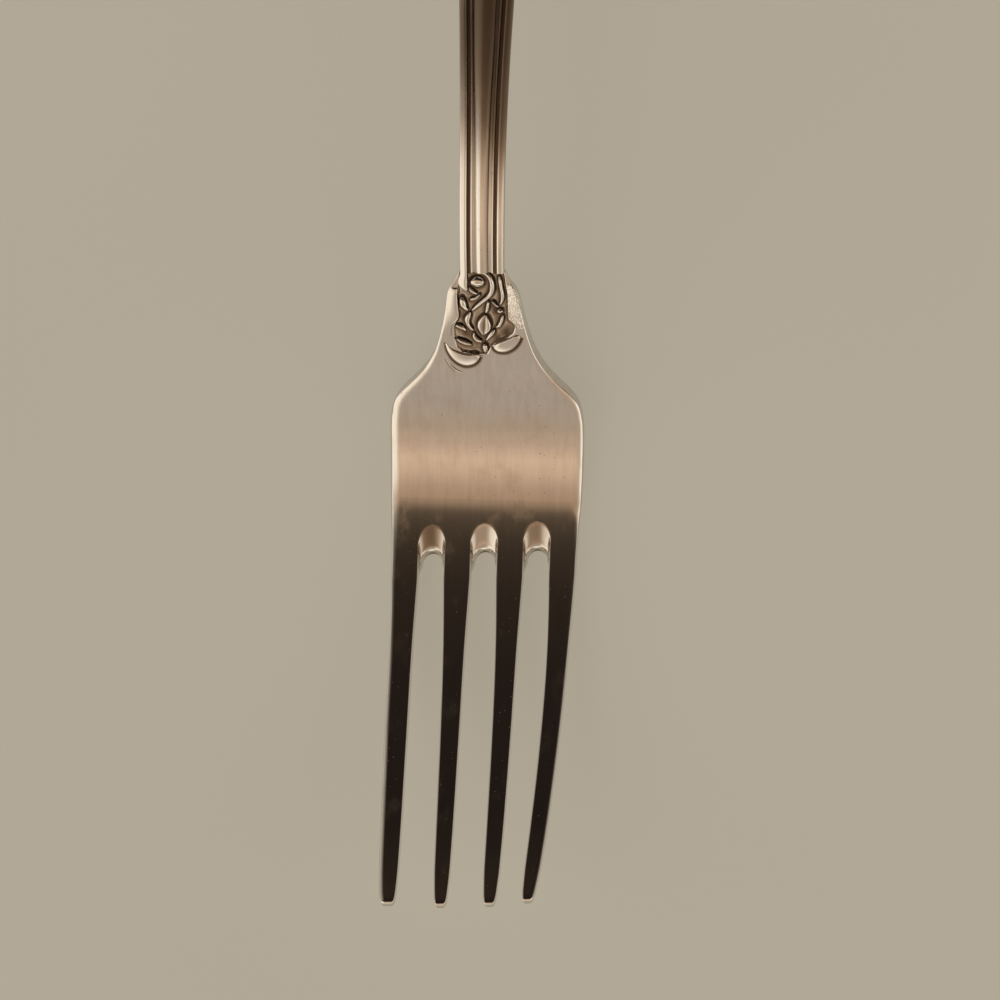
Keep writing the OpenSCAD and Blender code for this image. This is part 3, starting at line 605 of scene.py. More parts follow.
ORNAMENT = {
    "c_scroll": (
        (-0.12, 1.06, 0.02, 0.4), (0, 1.065, 0.035, 0.65), (0.1, 1.055, 0.05, 0.8), (0.2, 1.015, 0.06, 0.9),
        (0.255, 0.95, 0.07, 0.95), (0.25, 0.88, 0.07, 0.95), (0.18, 0.825, 0.06, 0.85),
        (0.03, 0.772, 0.05, 0.8), (-0.135, 0.717, 0.045, 0.65), (-0.28, 0.665, 0.022, 0.35),
    ),
    "upper_bead": (
        (-0.33, 0.965, 0.03, 0.25), (-0.28, 0.965, 0.1, 0.75), (-0.14, 0.967, 0.15, 1), (0, 0.965, 0.1, 0.75),
        (0.05, 0.965, 0.03, 0.25),
    ),
    "upper_petal": (
        (-0.36, 0.905, 0.02, 0.35), (-0.31, 0.88, 0.045, 0.7), (-0.24, 0.857, 0.045, 0.7),
        (-0.15, 0.838, 0.02, 0.3),
    ),
    "upper_crescent": (
        (-0.33, 0.775, 0.02, 0.25), (-0.26, 0.782, 0.035, 0.45), (-0.16, 0.8, 0.035, 0.45),
        (-0.07, 0.83, 0.02, 0.25),
    ),
    "left_knob": (
        (-0.55, 0.8, 0.03, 0.3), (-0.55, 0.765, 0.075, 0.75), (-0.52, 0.72, 0.085, 0.85),
        (-0.46, 0.68, 0.045, 0.5), (-0.4, 0.665, 0.02, 0.25),
    ),
    "left_leaf": (
        (-0.34, 0.64, 0.025, 0.35), (-0.385, 0.605, 0.065, 0.75), (-0.43, 0.56, 0.075, 0.8),
        (-0.41, 0.51, 0.05, 0.65), (-0.33, 0.465, 0.035, 0.5), (-0.28, 0.45, 0.02, 0.3),
    ),
    "stalk": (
        (0.152, 0.765, 0.02, 0.5), (0.145, 0.74, 0.045, 0.8), (0.12, 0.69, 0.05, 0.9),
        (0.09, 0.65, 0.035, 0.7),
    ),
    "centre_leaf": (
        (0.07, 0.615, 0.03, 0.5), (0.05, 0.585, 0.1, 0.8), (0.03, 0.53, 0.18, 0.95),
        (0.02, 0.475, 0.185, 0.95), (0.01, 0.43, 0.1, 0.85), (0.01, 0.4, 0.03, 0.5),
    ),
    "left_lobe": (
        (-0.26, 0.42, 0.02, 0.35), (-0.25, 0.38, 0.05, 0.75), (-0.17, 0.345, 0.055, 0.8),
        (-0.06, 0.33, 0.03, 0.4),
    ),
    "right_lobe": (
        (0.3, 0.46, 0.02, 0.35), (0.25, 0.43, 0.055, 0.8), (0.16, 0.39, 0.05, 0.8), (0.08, 0.35, 0.03, 0.4),
    ),
    "right_twig": (
        (0.25, 0.76, 0.02, 0.4), (0.3, 0.745, 0.03, 0.6), (0.36, 0.72, 0.03, 0.6), (0.41, 0.705, 0.015, 0.3),
    ),
    "right_leaf": (
        (0.53, 0.615, 0.02, 0.35), (0.51, 0.585, 0.045, 0.7), (0.48, 0.545, 0.05, 0.75),
        (0.42, 0.505, 0.045, 0.7), (0.35, 0.49, 0.02, 0.35),
    ),
    "ribbon": (
        (0.45, 1.03, 0.02, 0.4), (0.47, 0.98, 0.05, 0.8), (0.5, 0.905, 0.05, 0.85), (0.53, 0.83, 0.055, 0.85),
        (0.51, 0.77, 0.045, 0.7), (0.46, 0.735, 0.022, 0.35),
    ),
    "ribbon_knob": (
        (0.37, 0.655, 0.02, 0.3), (0.42, 0.66, 0.06, 0.75), (0.48, 0.66, 0.065, 0.8),
        (0.53, 0.655, 0.025, 0.3),
    ),
    "left_curl": (
        (-0.74, 0.49, 0.02, 0.3), (-0.67, 0.488, 0.045, 0.65), (-0.57, 0.473, 0.05, 0.65),
        (-0.48, 0.445, 0.02, 0.3),
    ),
    "left_crescent": (
        (-0.72, 0.35, 0.02, 0.3), (-0.62, 0.327, 0.045, 0.65), (-0.48, 0.308, 0.05, 0.65),
        (-0.34, 0.29, 0.02, 0.35),
    ),
    "left_cup": (
        (-1.03, 0.3, 0.02, 0.25), (-0.93, 0.225, 0.08, 0.7), (-0.75, 0.16, 0.15, 0.95),
        (-0.54, 0.125, 0.18, 1), (-0.36, 0.128, 0.165, 1), (-0.22, 0.153, 0.12, 0.9),
        (-0.13, 0.175, 0.04, 0.4),
    ),
    "left_ridge": (
        (-1.03, 0.13, 0.015, 0.15), (-0.92, 0.06, 0.025, 0.3), (-0.76, 0.01, 0.025, 0.3),
        (-0.62, -0.01, 0.015, 0.15),
    ),
    "right_cup": (
        (0.26, 0.285, 0.03, 0.35), (0.32, 0.275, 0.1, 0.8), (0.43, 0.27, 0.15, 1), (0.6, 0.283, 0.175, 1),
        (0.77, 0.32, 0.16, 0.95), (0.91, 0.37, 0.11, 0.8), (0.97, 0.4, 0.04, 0.4),
    ),
    "lower_bead": (
        (0.03, 0.305, 0.025, 0.3), (0.03, 0.285, 0.07, 0.75), (0.03, 0.245, 0.075, 0.8),
        (0.03, 0.215, 0.03, 0.3),
    ),
}
# Outline of the sunk ground between the strokes, in shares [across, along]
FIELD = (
    (-0.6, 0.215), (-0.74, 0.27), (-0.78, 0.36), (-0.79, 0.47), (-0.75, 0.51), (-0.66, 0.56), (-0.635, 0.62),
    (-0.66, 0.76), (-0.65, 0.9), (-0.6, 1.07), (0.57, 1.07), (0.6, 0.97), (0.645, 0.86), (0.655, 0.63),
    (0.67, 0.57), (0.82, 0.52), (0.84, 0.48), (0.8, 0.43), (0.6, 0.36), (0.43, 0.335), (0.3, 0.31),
    (0.17, 0.27), (0.08, 0.2), (-0.04, 0.2), (-0.15, 0.19), (-0.36, 0.2),
)
# Rings of a stroke from one row of its table to the next, those that distances are taken from, and the step
# over which its direction is taken
STROKE_STEPS = 10
NEAR_STEPS = 8
STROKE_STEP = 0.02
# A distance that is longer than any on the fork
FAR = 1.0
DOME_STEPS = 14
STROKE_SIDES = np.concatenate([[-1], -np.cos(np.linspace(0, math.pi, DOME_STEPS + 1)), [1]])
# Depth of the open ground as a share of that beside the strokes, and the tarnish of both
OPEN_SINK = 0.3
OPEN_TARNISH = 0.3
# Reach of the dark rim inside the field's outline and of the slope along it, in reaches of the recess, and
# the rim's strength
RIM_REACH = 0.8
SLOPE_REACH = 0.5
RIM_SHARE = 0.9
# Darker patches of the open ground, in shares of the crest, as (across, along, reach, tarnish), and how many
# shares across are as long as one along
PATCH_STRETCH = 2
PATCHES = (
    (0.33, 0.68, 0.16, 0.85), (0.4, 0.57, 0.16, 0.6), (-0.45, 0.42, 0.16, 0.9), (-0.25, 0.26, 0.14, 0.6),
    (0.62, 0.43, 0.2, 0.95), (0.36, 0.37, 0.16, 0.95), (-0.55, 0.6, 0.12, 0.8), (0.36, 0.9, 0.1, 0.8),
)
FOOT_TARNISH = 0.97
# How fast the tarnish fades up a stroke's foot, and how much lies in the hollow between two rims
FOOT_FADE = 4
HOLLOW_GAIN = 2.4
# Painted shadow: strength of the lines under the cups and of the line under the ridge
CUP_PAINTED_SHADOW = 1.0
RIDGE_PAINTED_SHADOW = 0.4
# Height over the section of a cupped leaf, from one rim to the other
CUPPED_SHARES = (0, 0.4, 0.68, 0.88, 1, 0.98, 0.8, 0.66, 0.8, 0.98, 1, 0.88, 0.68, 0.4, 0)
DOME_SHARES = tuple(math.sin(math.pi * k / DOME_STEPS) for k in range(DOME_STEPS + 1))
BEAD_SHARES = tuple(lift ** 1.8 for lift in DOME_SHARES)
# Height over the section of a cup, which leans up from its lower side
CUP_SHARES = (0, 0.3, 0.5, 0.62, 0.7, 0.77, 0.83, 0.89, 0.94, 0.98, 1, 0.96, 0.84, 0.55, 0)
CUPS = ("left_cup", "right_cup")
SECTIONS = {
    "centre_leaf": CUPPED_SHARES, "upper_bead": BEAD_SHARES, "lower_bead": BEAD_SHARES,
    "ribbon_knob": BEAD_SHARES, "left_cup": CUP_SHARES, "right_cup": CUP_SHARES,
}
# Where the painted shade on the lower side of a cup ends across it, from -1 to 1, and how fast it fades there
CUP_PAINTED_SHADE = -0.45
CUP_PAINTED_SHADE_FADE = 3.5
# Depth of a stroke's base, in depths of the recess
BASE_SHARE = 1.2


def crest_place(form, shares):
    """Station and place across of points given in shares of the crest."""
    return form.crest_at + shares[1] * form.size.crest_l, shares[0] * form.field_half(shares[1])


def stroke_line(table, steps):
    """Shares along a stroke, and those one small step before and after."""
    x = np.linspace(0, len(table) - 1, (len(table) - 1) * steps + 1)
    columns = list(zip(*table))
    return [np.stack([listed(c, x + d) for c in columns]) for d in (0, -STROKE_STEP, STROKE_STEP)]


def stroke_rings(form, table, place, width, base, section):
    """Raised sweep along a stroke, standing on a base sunk below the plate."""
    here, before, after = stroke_line(table, STROKE_STEPS)
    s, across = place(here)
    sa, xa = place(before)
    sb, xb = place(after)
    run = np.hypot(sb - sa, xb - xa)
    step_s, step_x = (sb - sa) / run, (xb - xa) / run
    lift = np.concatenate([[-base], section, [-base]])
    w = (here[2] * width(here[1]))[:, None] * STROKE_SIDES
    h = here[3] * form.size.crest_h * form.size.crest_worn
    out = np.where(lift > 0, h[:, None] * lift, lift)
    return form.at(s[:, None] + step_x[:, None] * w, across[:, None] - step_s[:, None] * w, out)


def stroke_tarnish(section):
    """Tarnish over a stroke's section: dark at its foot and in the hollow between two rims."""
    lift = np.concatenate([[0], section, [0]])
    rims = np.minimum(np.maximum.accumulate(lift), np.maximum.accumulate(lift[::-1])[::-1])
    foot, hollow = np.clip(1 - lift * FOOT_FADE, 0, 1), np.clip((rims - lift) * HOLLOW_GAIN, 0, 1)
    return foot[None] + hollow[None]


def build_ornament(form, silver):
    size = form.size
    for name, table in ORNAMENT.items():
        section = SECTIONS.get(name, DOME_SHARES)
        dark = stroke_tarnish(section)
        # The cups take painted shade on their lower side in place of the tarnish at their foot
        if name in CUPS:
            dark = ease((CUP_PAINTED_SHADE - STROKE_SIDES) * CUP_PAINTED_SHADE_FADE)[None]
        rings = stroke_rings(
            form, table, lambda shares: crest_place(form, shares), form.field_half,
            size.recess_d * BASE_SHARE, section,
        )
        rolled(f"chased_{name}", rings, dark, name, silver)


def near_strokes(form, s, across, names):
    """Distance of places on the plate from the edge of the nearest stroke, and whether they lie below it."""
    nearest = np.full(s.shape, FAR)
    below = np.zeros(s.shape, bool)
    for name in names:
        here = stroke_line(ORNAMENT[name], NEAR_STEPS)[0]
        stations, places = crest_place(form, here)
        for line_s, line_x, half in zip(stations, places, here[2] * form.field_half(here[1])):
            gap = np.hypot(s - line_s, across - line_x) - half
            below = np.where(gap < nearest, s < line_s, below)
            nearest = np.minimum(nearest, gap)
    return nearest, below


def outside_field(form, s, across):
    """Distance of places on the plate outside the field's outline, negative inside it."""
    stations, places = crest_place(form, np.array(FIELD).T)
    nearest = np.full(s.shape, FAR)
    inside = np.zeros(s.shape, bool)
    for i in range(len(FIELD)):
        s0, x0, s1, x1 = stations[i - 1], places[i - 1], stations[i], places[i]
        run = np.hypot(s1 - s0, x1 - x0)
        k = np.clip(((s - s0) * (s1 - s0) + (across - x0) * (x1 - x0)) / run ** 2, 0, 1)
        nearest = np.minimum(nearest, np.hypot(s - mix(s0, s1, k), across - mix(x0, x1, k)))
        crossed = (s0 > s) != (s1 > s)
        inside ^= crossed & (across < x0 + (s - s0) / (s1 - s0 + (s1 == s0)) * (x1 - x0))
    return np.where(inside, -nearest, nearest)


def ground(form, s, across):
    """How far the plate is sunk between the strokes and how dark it is there, both from 0 to 1."""
    outside = outside_field(form, s, across)
    field = 1 - ease(outside / (form.size.halo_w * SLOPE_REACH) + 0.5)
    foot = np.exp(-(np.maximum(near_strokes(form, s, across, ORNAMENT)[0], 0) / form.size.halo_w) ** 2)
    rim = np.exp(-(np.minimum(outside, 0) / (form.size.halo_w * RIM_REACH)) ** 2)
    foot = np.maximum(foot, RIM_SHARE * rim)
    along = (s - form.crest_at) / form.size.crest_l
    open_dark = np.full(s.shape, OPEN_TARNISH)
    for place, at, reach, dark in PATCHES:
        away = np.hypot(across / form.field_half(along) - place, (along - at) * PATCH_STRETCH) / reach
        open_dark = np.maximum(open_dark, dark * np.exp(-away ** 2))
    return field * mix(OPEN_SINK, 1, foot), field * mix(open_dark, FOOT_TARNISH, foot)


def painted_shadow_under(form, s, across, names):
    """Painted shadow: a thin line on the plate along the lower side of strokes, from 0 to 1."""
    gap, below = near_strokes(form, s, across, names)
    return np.where(below, 1 - ease(gap / form.size.halo_w), 0)


def build_shoulder(form, silver):
    size = form.size
    s = row_places(form.neck_at, form.crest_at, SHOULDER_ROWS)
    rings, front_x = plate_rings(
        form, s, SHOULDER_COLUMNS, lambda st, x: size.recess_d * ground(form, st, x)[0]
    )
    tarnish_and_shade = np.zeros(rings.shape[:2])
    s = s[:, None] + 0 * front_x
    # Painted shadow: dark lines on the plate under the cups and under the ridge
    line = painted_shadow_under(form, s, front_x, CUPS)
    ridge_shadow = painted_shadow_under(form, s, front_x, ("left_ridge",))
    field = ground(form, s, front_x)[1]
    tarnish_and_shade[:, :SHOULDER_COLUMNS] = np.maximum(field, np.maximum(line * CUP_PAINTED_SHADOW, ridge_shadow * RIDGE_PAINTED_SHADOW))
    rolled("struck_shoulder", rings, tarnish_and_shade, "shoulder", silver)


# Wings: inner edge in shares of the crest, as (along, across), left then right

WING_INNER = (
    (
        (0.37, 0.87), (0.46, 0.86), (0.51, 0.82), (0.55, 0.69), (0.6, 0.635), (0.66, 0.645),
        (0.76, 0.663), (0.9, 0.66), (0.96, 0.65),
    ),
    (
        (0.4, 1), (0.45, 0.96), (0.49, 0.88), (0.53, 0.79), (0.57, 0.67), (0.63, 0.655), (0.73, 0.655),
        (0.86, 0.645), (0.97, 0.6),
    ),
)
WING_ENDS = ((0.38, 0.9), (0.47, 0.95))
# Height over a wing's section, from its inner edge to the plate's side
WING_SECTIONS = (
    (
        (0, 0), (0.04, 0.6), (0.1, 0.9), (0.2, 1), (0.4, 0.93), (0.6, 0.75), (0.8, 0.44), (0.93, 0.2),
        (1, 0.05),
    ),
    ((0, 0), (0.05, 0.2), (0.2, 0.38), (0.4, 0.6), (0.6, 0.82), (0.8, 1), (0.92, 0.8), (1, 0.2)),
)
# How fast a wing rises from its foot, how fast its top rounds off and what is left there, and how fast the
# dark line along its inner edge ends
WING_FOOT_RATE = 1.5
WING_TOP_RATE, WING_TOP_SHARE = 10, 0.02
WING_LINE_RATE = 12
WING_ROWS = 60
WING_COLUMNS = 26


def wing_rings(form, side):
    """Panel that follows the plate and its rounded edge; its foot fades into the plate."""
    size = form.size
    tables = (WING_INNER, WING_ENDS, WING_SECTIONS)
    inner_edge, ends, section = (table[0 if side < 0 else 1] for table in tables)
    k = np.linspace(0, 1, WING_ROWS)
    along = mix(ends[0], ends[1], k)
    s = form.crest_at + along * size.crest_l
    half = form.head_half(s)[:, None]
    inner = (form.field_half(along) * cubic(inner_edge, along))[:, None]
    top = np.sqrt(np.clip((1 - k) * WING_TOP_RATE + WING_TOP_SHARE, 0, 1))
    high = (size.wing_h * ease(k * WING_FOOT_RATE) * top)[:, None]
    place = np.linspace(0, 1, WING_COLUMNS + 1)
    place, lift = np.concatenate([[0], place, [1]]), np.concatenate([[0], cubic(section, place), [0]])
    x = mix(inner, half - size.wear / 2, place)
    crown_w, crown_d = (v[:, None] for v in form.crown(s))
    past = np.clip(1 - (half - x) / crown_w, 0, 1)
    out = high * lift - crown_d * (1 - np.sqrt(1 - past ** 2))
    out[:, [0, -1]] -= size.recess_d * BASE_SHARE
    dark = np.clip(1 - place * WING_LINE_RATE, 0, 1)[None]
    return form.at(s[:, None], side * x, out), dark


def build_wings(form, silver, stippled):
    for side, name, finish in ((-1, "wing_left", silver), (1, "wing_right", stippled)):
        rings, dark = wing_rings(form, side)
        rolled(f"chased_{name}", rings, dark, name, finish)


# Stem and handle

STEM_ROWS = 120
HANDLE_ROWS = 110
END_ROWS = 30
END_SWEEP = math.radians(87)
CORE_COLUMNS = 70


def stem_stations(form):
    return row_places(form.neck_at, form.size.arch_at, STEM_ROWS)


def handle_stations(form):
    end = form.end_arc_at + form.size.end_arc_l * np.sin(np.linspace(0, END_SWEEP, END_ROWS))
    return np.concatenate([row_places(form.size.arch_at, form.end_arc_at, HANDLE_ROWS)[:-1], end])


def core_rings(form, s):
    """Rings of the stem and handle: flat front, D-shaped back."""
    half, thick = form.handle_half(s), form.thickness(s)
    back_r = np.minimum(half, thick * Form.CORE_ROUND_SHARE)
    inset, depth = side_points(0 * half, 0 * half, thick * Form.CORE_EDGE_SHARE, back_r, thick)
    inset, depth = inset[:, ARC_STEPS:], depth[:, ARC_STEPS:]
    side = half[:, None] - inset
    front_x = between(-side[:, 0], side[:, 0], CORE_COLUMNS)
    back_x = between(side[:, -1], -side[:, -1], FACE_COLUMNS)
    across = band(front_x, side, back_x, -side[:, ::-1])
    deep = band(0 * front_x, depth, 0 * back_x + thick[:, None], depth[:, ::-1])
    return form.at(s[:, None], across, -deep), half[:, None] - np.abs(front_x)


# Patina of the upper stem and the handle, which also paints their dark reflection as painted shade, darker on
# the right side: its amount on the left and on the right side of the fork, and the share of it that the
# handle keeps
PATINA_AND_REFLECTION = (0.5, 0.78)
PATINA_AND_REFLECTION_KEPT = 0.5
# Where it starts on the left and on the right side, and over what it grows, in shares from neck to arch
PATINA_AND_REFLECTION_STARTS = (0.34, 0.14)
PATINA_AND_REFLECTION_GROWTH = 0.5
# Rate and start of its loss along the handle, and of its change from the left side to the right one
PATINA_AND_REFLECTION_LOSS = (2, 0.2)
PATINA_AND_REFLECTION_TURN = (2, 0.4)
# Spread of the tarnish in the groove beside a reed, as a share of the groove's width
GROOVE_SPREAD = 0.9


def patina_and_painted_reflection(form, s, side):
    """Even tarnish of the stem and handle that also paints their dark reflection, darker on the right side;
    side runs from 0 at the left edge to 1 at the right one.
    """
    arch = form.size.arch_at
    starts = mix(form.neck_at, arch, mix(*PATINA_AND_REFLECTION_STARTS, side))
    grown = ease((s - starts) / ((arch - form.neck_at) * PATINA_AND_REFLECTION_GROWTH))
    along = (s - arch) / (form.end_arc_at - arch)
    kept = mix(1, PATINA_AND_REFLECTION_KEPT, ease(along * PATINA_AND_REFLECTION_LOSS[0] - PATINA_AND_REFLECTION_LOSS[1]))
    return mix(*PATINA_AND_REFLECTION, ease(side * PATINA_AND_REFLECTION_TURN[0] - PATINA_AND_REFLECTION_TURN[1])) * grown * kept


def groove_tarnish(form, from_edge):
    """Tarnish across the front of the stem: darkest in the groove between reed and thread."""
    size = form.size
    groove = size.reed_w + size.groove_w / 2
    return np.exp(-(((from_edge - groove) / (size.groove_w * GROOVE_SPREAD)) ** 2))


def build_stem(form, silver):
    for name, s in (("stem", stem_stations(form)), ("handle", handle_stations(form))):
        rings, from_edge = core_rings(form, s)
        # Patina with the painted dark reflection of the stem and handle, darker on their right side
        tarnish_and_shade = patina_and_painted_reflection(form, s[:, None], rings[..., 0] / (2 * form.handle_half(s)[:, None]) + 0.5)
        tarnish_and_shade[:, :CORE_COLUMNS] = np.maximum(tarnish_and_shade[:, :CORE_COLUMNS], groove_tarnish(form, from_edge))
        rolled(f"struck_{name}", rings, tarnish_and_shade, name, silver)


# Border mouldings

REED_SHARES = {
    -1: ((0, 0), (0, 0.5), (0.14, 0.72), (0.44, 0.9), (0.76, 1), (0.94, 0.66), (1, 0)),
    1: ((0, 0), (0, 0.5), (0.14, 0.72), (0.42, 0.93), (0.7, 1), (0.93, 0.7), (1, 0)),
}
THREAD_SHARES = ((0, 0), (0.06, 0.42), (0.24, 0.85), (0.5, 1), (0.76, 0.85), (0.94, 0.42), (1, 0))
# The left reed runs on past the neck and ends in a drop: place below the neck, height, step in from the
# edge and width, as shares
REED_END_SHARES = (
    (0.01, 1, 0, 1), (0.03, 1, -0.04, 1.04), (0.05, 1, -0.11, 1.11), (0.07, 1, -0.2, 1.2),
    (0.09, 1, -0.27, 1.26), (0.11, 1, -0.29, 1.28), (0.13, 0.99, -0.24, 1.22), (0.15, 0.96, -0.12, 1.1),
    (0.168, 0.92, 0.04, 0.94), (0.182, 0.84, 0.2, 0.77), (0.193, 0.72, 0.36, 0.59), (0.2, 0.58, 0.5, 0.43),
    (0.205, 0.38, 0.62, 0.28),
)
MOULDING_STEPS = 18
# Painted shadow on the reeds' outer flanks, none on the left and some on the right, and how it fades up them:
# start and rate
OUTER_PAINTED_SHADOW = {-1: 0, 1: 0.35}
OUTER_FADE = (2.8, 3)
# How fast the tarnish fades up the inner foot of a reed and the outer foot of a thread
REED_FOOT_FADE = 1.3
THREAD_FOOT_FADE = 1.2
# Place of a thread from the middle of the handle, for its patina and painted dark reflection
THREAD_SIDE = 0.3


def edge_line(form, s):
    """Handle edge at stations: place across, and the step in from it as (along, across)."""
    size, d = form.size, form.size.wear
    half = form.handle_half(s)
    in_end = s > form.end_arc_at
    turn = np.arcsin(np.clip((s - form.end_arc_at) / size.end_arc_l, 0, 1))
    slope = (form.handle_half(s + d) - form.handle_half(s - d)) / (2 * d)
    step_x = np.where(in_end, -size.handle_w / 2 * np.sin(turn), slope)
    step_s = np.where(in_end, size.end_arc_l * np.cos(turn), 1)
    run = np.hypot(step_x, step_s)
    return half, step_x / run, -step_s / run


def moulding_rings(form, s, side, start, shares, width, height):
    half, in_s, in_x = edge_line(form, s)
    x = np.linspace(0, len(shares) - 1, MOULDING_STEPS + 1)
    start, width, height = (np.broadcast_to(v, s.shape)[:, None] for v in (start, width, height))
    away = start + width * listed([p[0] for p in shares], x)
    lift = listed([p[1] for p in shares], x)
    x = side * (half[:, None] + in_x[:, None] * away)
    return form.at(s[:, None] + in_s[:, None] * away, x, height * lift), lift


def build_border(form, bright):
    size = form.size
    s = np.concatenate([stem_stations(form)[:-1], handle_stations(form)])
    below, low, step, wide = (np.array(column) for column in zip(*reversed(REED_END_SHARES)))
    runs_on = np.concatenate([form.neck_at - size.crest_l * below, s])
    end_h = size.reed_h * np.append(low, np.ones(len(s)))
    end_step = size.reed_w * np.append(step, np.zeros(len(s)))
    end_w = size.reed_w * np.append(wide, np.ones(len(s)))
    for side, name in ((-1, "left"), (1, "right")):
        line, start, width, high = s, 0, size.reed_w, size.reed_h
        if side < 0:
            line, start, width, high = runs_on, end_step, end_w, end_h
        rings, lift = moulding_rings(form, line, side, start, REED_SHARES[side], width, high)
        foot = np.clip(1 - lift * REED_FOOT_FADE, 0, 1)
        # Painted shadow along the outer flank of the right reed
        flank = OUTER_PAINTED_SHADOW[side] * np.clip(OUTER_FADE[0] - lift * OUTER_FADE[1], 0, 1)
        dark = np.where(np.linspace(0, 1, MOULDING_STEPS + 1) > 0.5, foot, flank)
        # Patina with the stem's painted dark reflection, darker on the right
        dark = np.maximum(dark[None], patina_and_painted_reflection(form, line[:, None], (side + 1) / 2))
        rolled(f"struck_reed_{name}", rings, dark, f"reed_{name}", bright)
        start = size.reed_w + size.groove_w
        rings, lift = moulding_rings(form, s, side, start, THREAD_SHARES, size.thread_w, size.thread_h)
        foot = np.clip(1 - lift * THREAD_FOOT_FADE, 0, 1)
        dark = np.where(np.linspace(0, 1, MOULDING_STEPS + 1) < 0.5, foot, 0)[None]
        # Patina with the stem's painted dark reflection
        dark = np.maximum(dark, patina_and_painted_reflection(form, s[:, None], 0.5 + side * THREAD_SIDE))
        rolled(f"struck_thread_{name}", rings, dark, f"thread_{name}", bright)


# Centre rib, in rows of shares (place, width, height), and its section, which leans to the right

RIB_SHARES = (
    (0, 1, 1), (0.1, 1, 1), (0.3, 1.15, 1), (0.45, 1.5, 0.9), (0.7, 1.6, 0.6), (0.9, 1, 0.25), (1, 0.1, 0.05),
)
RIB_SECTION = (
    (-1.3, 0), (-1.2, 0.16), (-0.95, 0.42), (-0.65, 0.72), (-0.35, 0.95), (-0.1, 1), (0.15, 0.97),
    (0.4, 0.86), (0.62, 0.7), (0.84, 0.42), (0.95, 0.2), (1, 0),
)
# Tarnish of the rib, with painted shade that darkens its right side: at its left and right feet, how fast it
# fades up them, painted shade on the right flank with the place across where it starts and its rate, and how
# far the rib reaches from the handle's middle, for its patina and painted dark reflection
RIB_FEET_OXIDE_AND_SHADE = (0.2, 0.8)
RIB_FOOT_FADE = 2.4
RIB_FLANK_PAINTED_SHADE, RIB_FLANK_AT, RIB_FLANK_RATE = 0.5, 0.3, 3
RIB_SIDE = 0.2
RIB_ROWS = 140
RIB_STEPS = 36


def build_rib(form, bright):
    size = form.size
    k = np.linspace(0, 1, RIB_ROWS)
    end_at = (size.arch_at + form.end_arc_at) / 2
    s = mix(form.neck_at, end_at, k)
    half = size.rib_w / 2 * cubic([(p[0], p[1]) for p in RIB_SHARES], k)
    high = size.rib_h * cubic([(p[0], p[2]) for p in RIB_SHARES], k)
    x = np.linspace(0, len(RIB_SECTION) - 1, RIB_STEPS + 1)
    place = listed([p[0] for p in RIB_SECTION], x)
    lift = listed([p[1] for p in RIB_SECTION], x)
    rings = form.at(s[:, None], half[:, None] * place, high[:, None] * np.maximum(lift, 0))
    # Tarnish at the rib's feet, with painted shade on its right foot and right flank
    dark = np.clip(1 - lift * RIB_FOOT_FADE, 0, 1) * np.where(place > 0, RIB_FEET_OXIDE_AND_SHADE[1], RIB_FEET_OXIDE_AND_SHADE[0])
    dark = np.maximum(dark, RIB_FLANK_PAINTED_SHADE * ease((place - RIB_FLANK_AT) * RIB_FLANK_RATE))
    # Patina with the stem's painted dark reflection
    dark = np.maximum(dark[None], patina_and_painted_reflection(form, s[:, None], 0.5 + place[None] * RIB_SIDE))
    rolled("struck_centre_rib", rings, dark, "centre_rib", bright)


# Handle end ornament, in shares of the rounded end

END_ORNAMENT = {
    "end_leaf": (
        1, ((0, -0.75, 0.015, 0.2), (0, -0.45, 0.1, 0.7), (0, -0.1, 0.15, 0.9), (0, 0.25, 0.13, 0.85),
            (0, 0.55, 0.05, 0.5), (0, 0.68, 0.015, 0.2)),
    ),
}
END_SCROLL = (
    (0.12, -0.42, 0.015, 0.2), (0.24, -0.3, 0.045, 0.6), (0.4, -0.18, 0.06, 0.8), (0.52, 0.02, 0.065, 0.85),
    (0.5, 0.24, 0.06, 0.8), (0.38, 0.36, 0.05, 0.7), (0.28, 0.28, 0.04, 0.5), (0.27, 0.16, 0.02, 0.3),
)
END_ORNAMENT["end_scroll_left"] = (-1, END_SCROLL)
END_ORNAMENT["end_scroll_right"] = (1, END_SCROLL)


def build_end_ornament(form, bright):
    size = form.size
    for name, (side, table) in END_ORNAMENT.items():
        rings = stroke_rings(
            form, table,
            lambda p, side=side: (form.end_arc_at + p[1] * size.end_arc_l, side * p[0] * size.handle_w / 2),
            lambda along: size.handle_w / 2, size.wear, DOME_SHARES,
        )
        rolled(f"chased_{name}", rings, stroke_tarnish(DOME_SHARES), name, bright)


# Materials


def node(tree, kind, **values):
    """A node with its settings, and with its inputs set or joined by name."""
    made = tree.nodes.new(kind)
    inputs = values.pop("inputs", {})
    for key, value in values.items():
        setattr(made, key, value)
    for key, value in inputs.items():
        if isinstance(value, bpy.types.NodeSocket):
            tree.links.new(value, made.inputs[key])
        else:
            made.inputs[key].default_value = value
    return made


def calc(tree, operation, *values, clamp=False):
    """A number worked out by a Math node."""
    inputs = dict(enumerate(values))
    return node(tree, "ShaderNodeMath", operation=operation, use_clamp=clamp, inputs=inputs).outputs[0]


def scaled(tree, colour, amount):
    """A colour times a number."""
    inputs = {0: colour, "Scale": amount}
    return node(tree, "ShaderNodeVectorMath", operation="SCALE", inputs=inputs).outputs[0]


def blended(tree, amount, first, second, colours=True):
    """Two colours, or two numbers, mixed by an amount."""
    kind, at = ("RGBA", 6) if colours else ("FLOAT", 2)
    inputs = {0: amount, at: first, at + 1: second}
    return node(tree, "ShaderNodeMix", data_type=kind, inputs=inputs).outputs[2 if colours else 0]


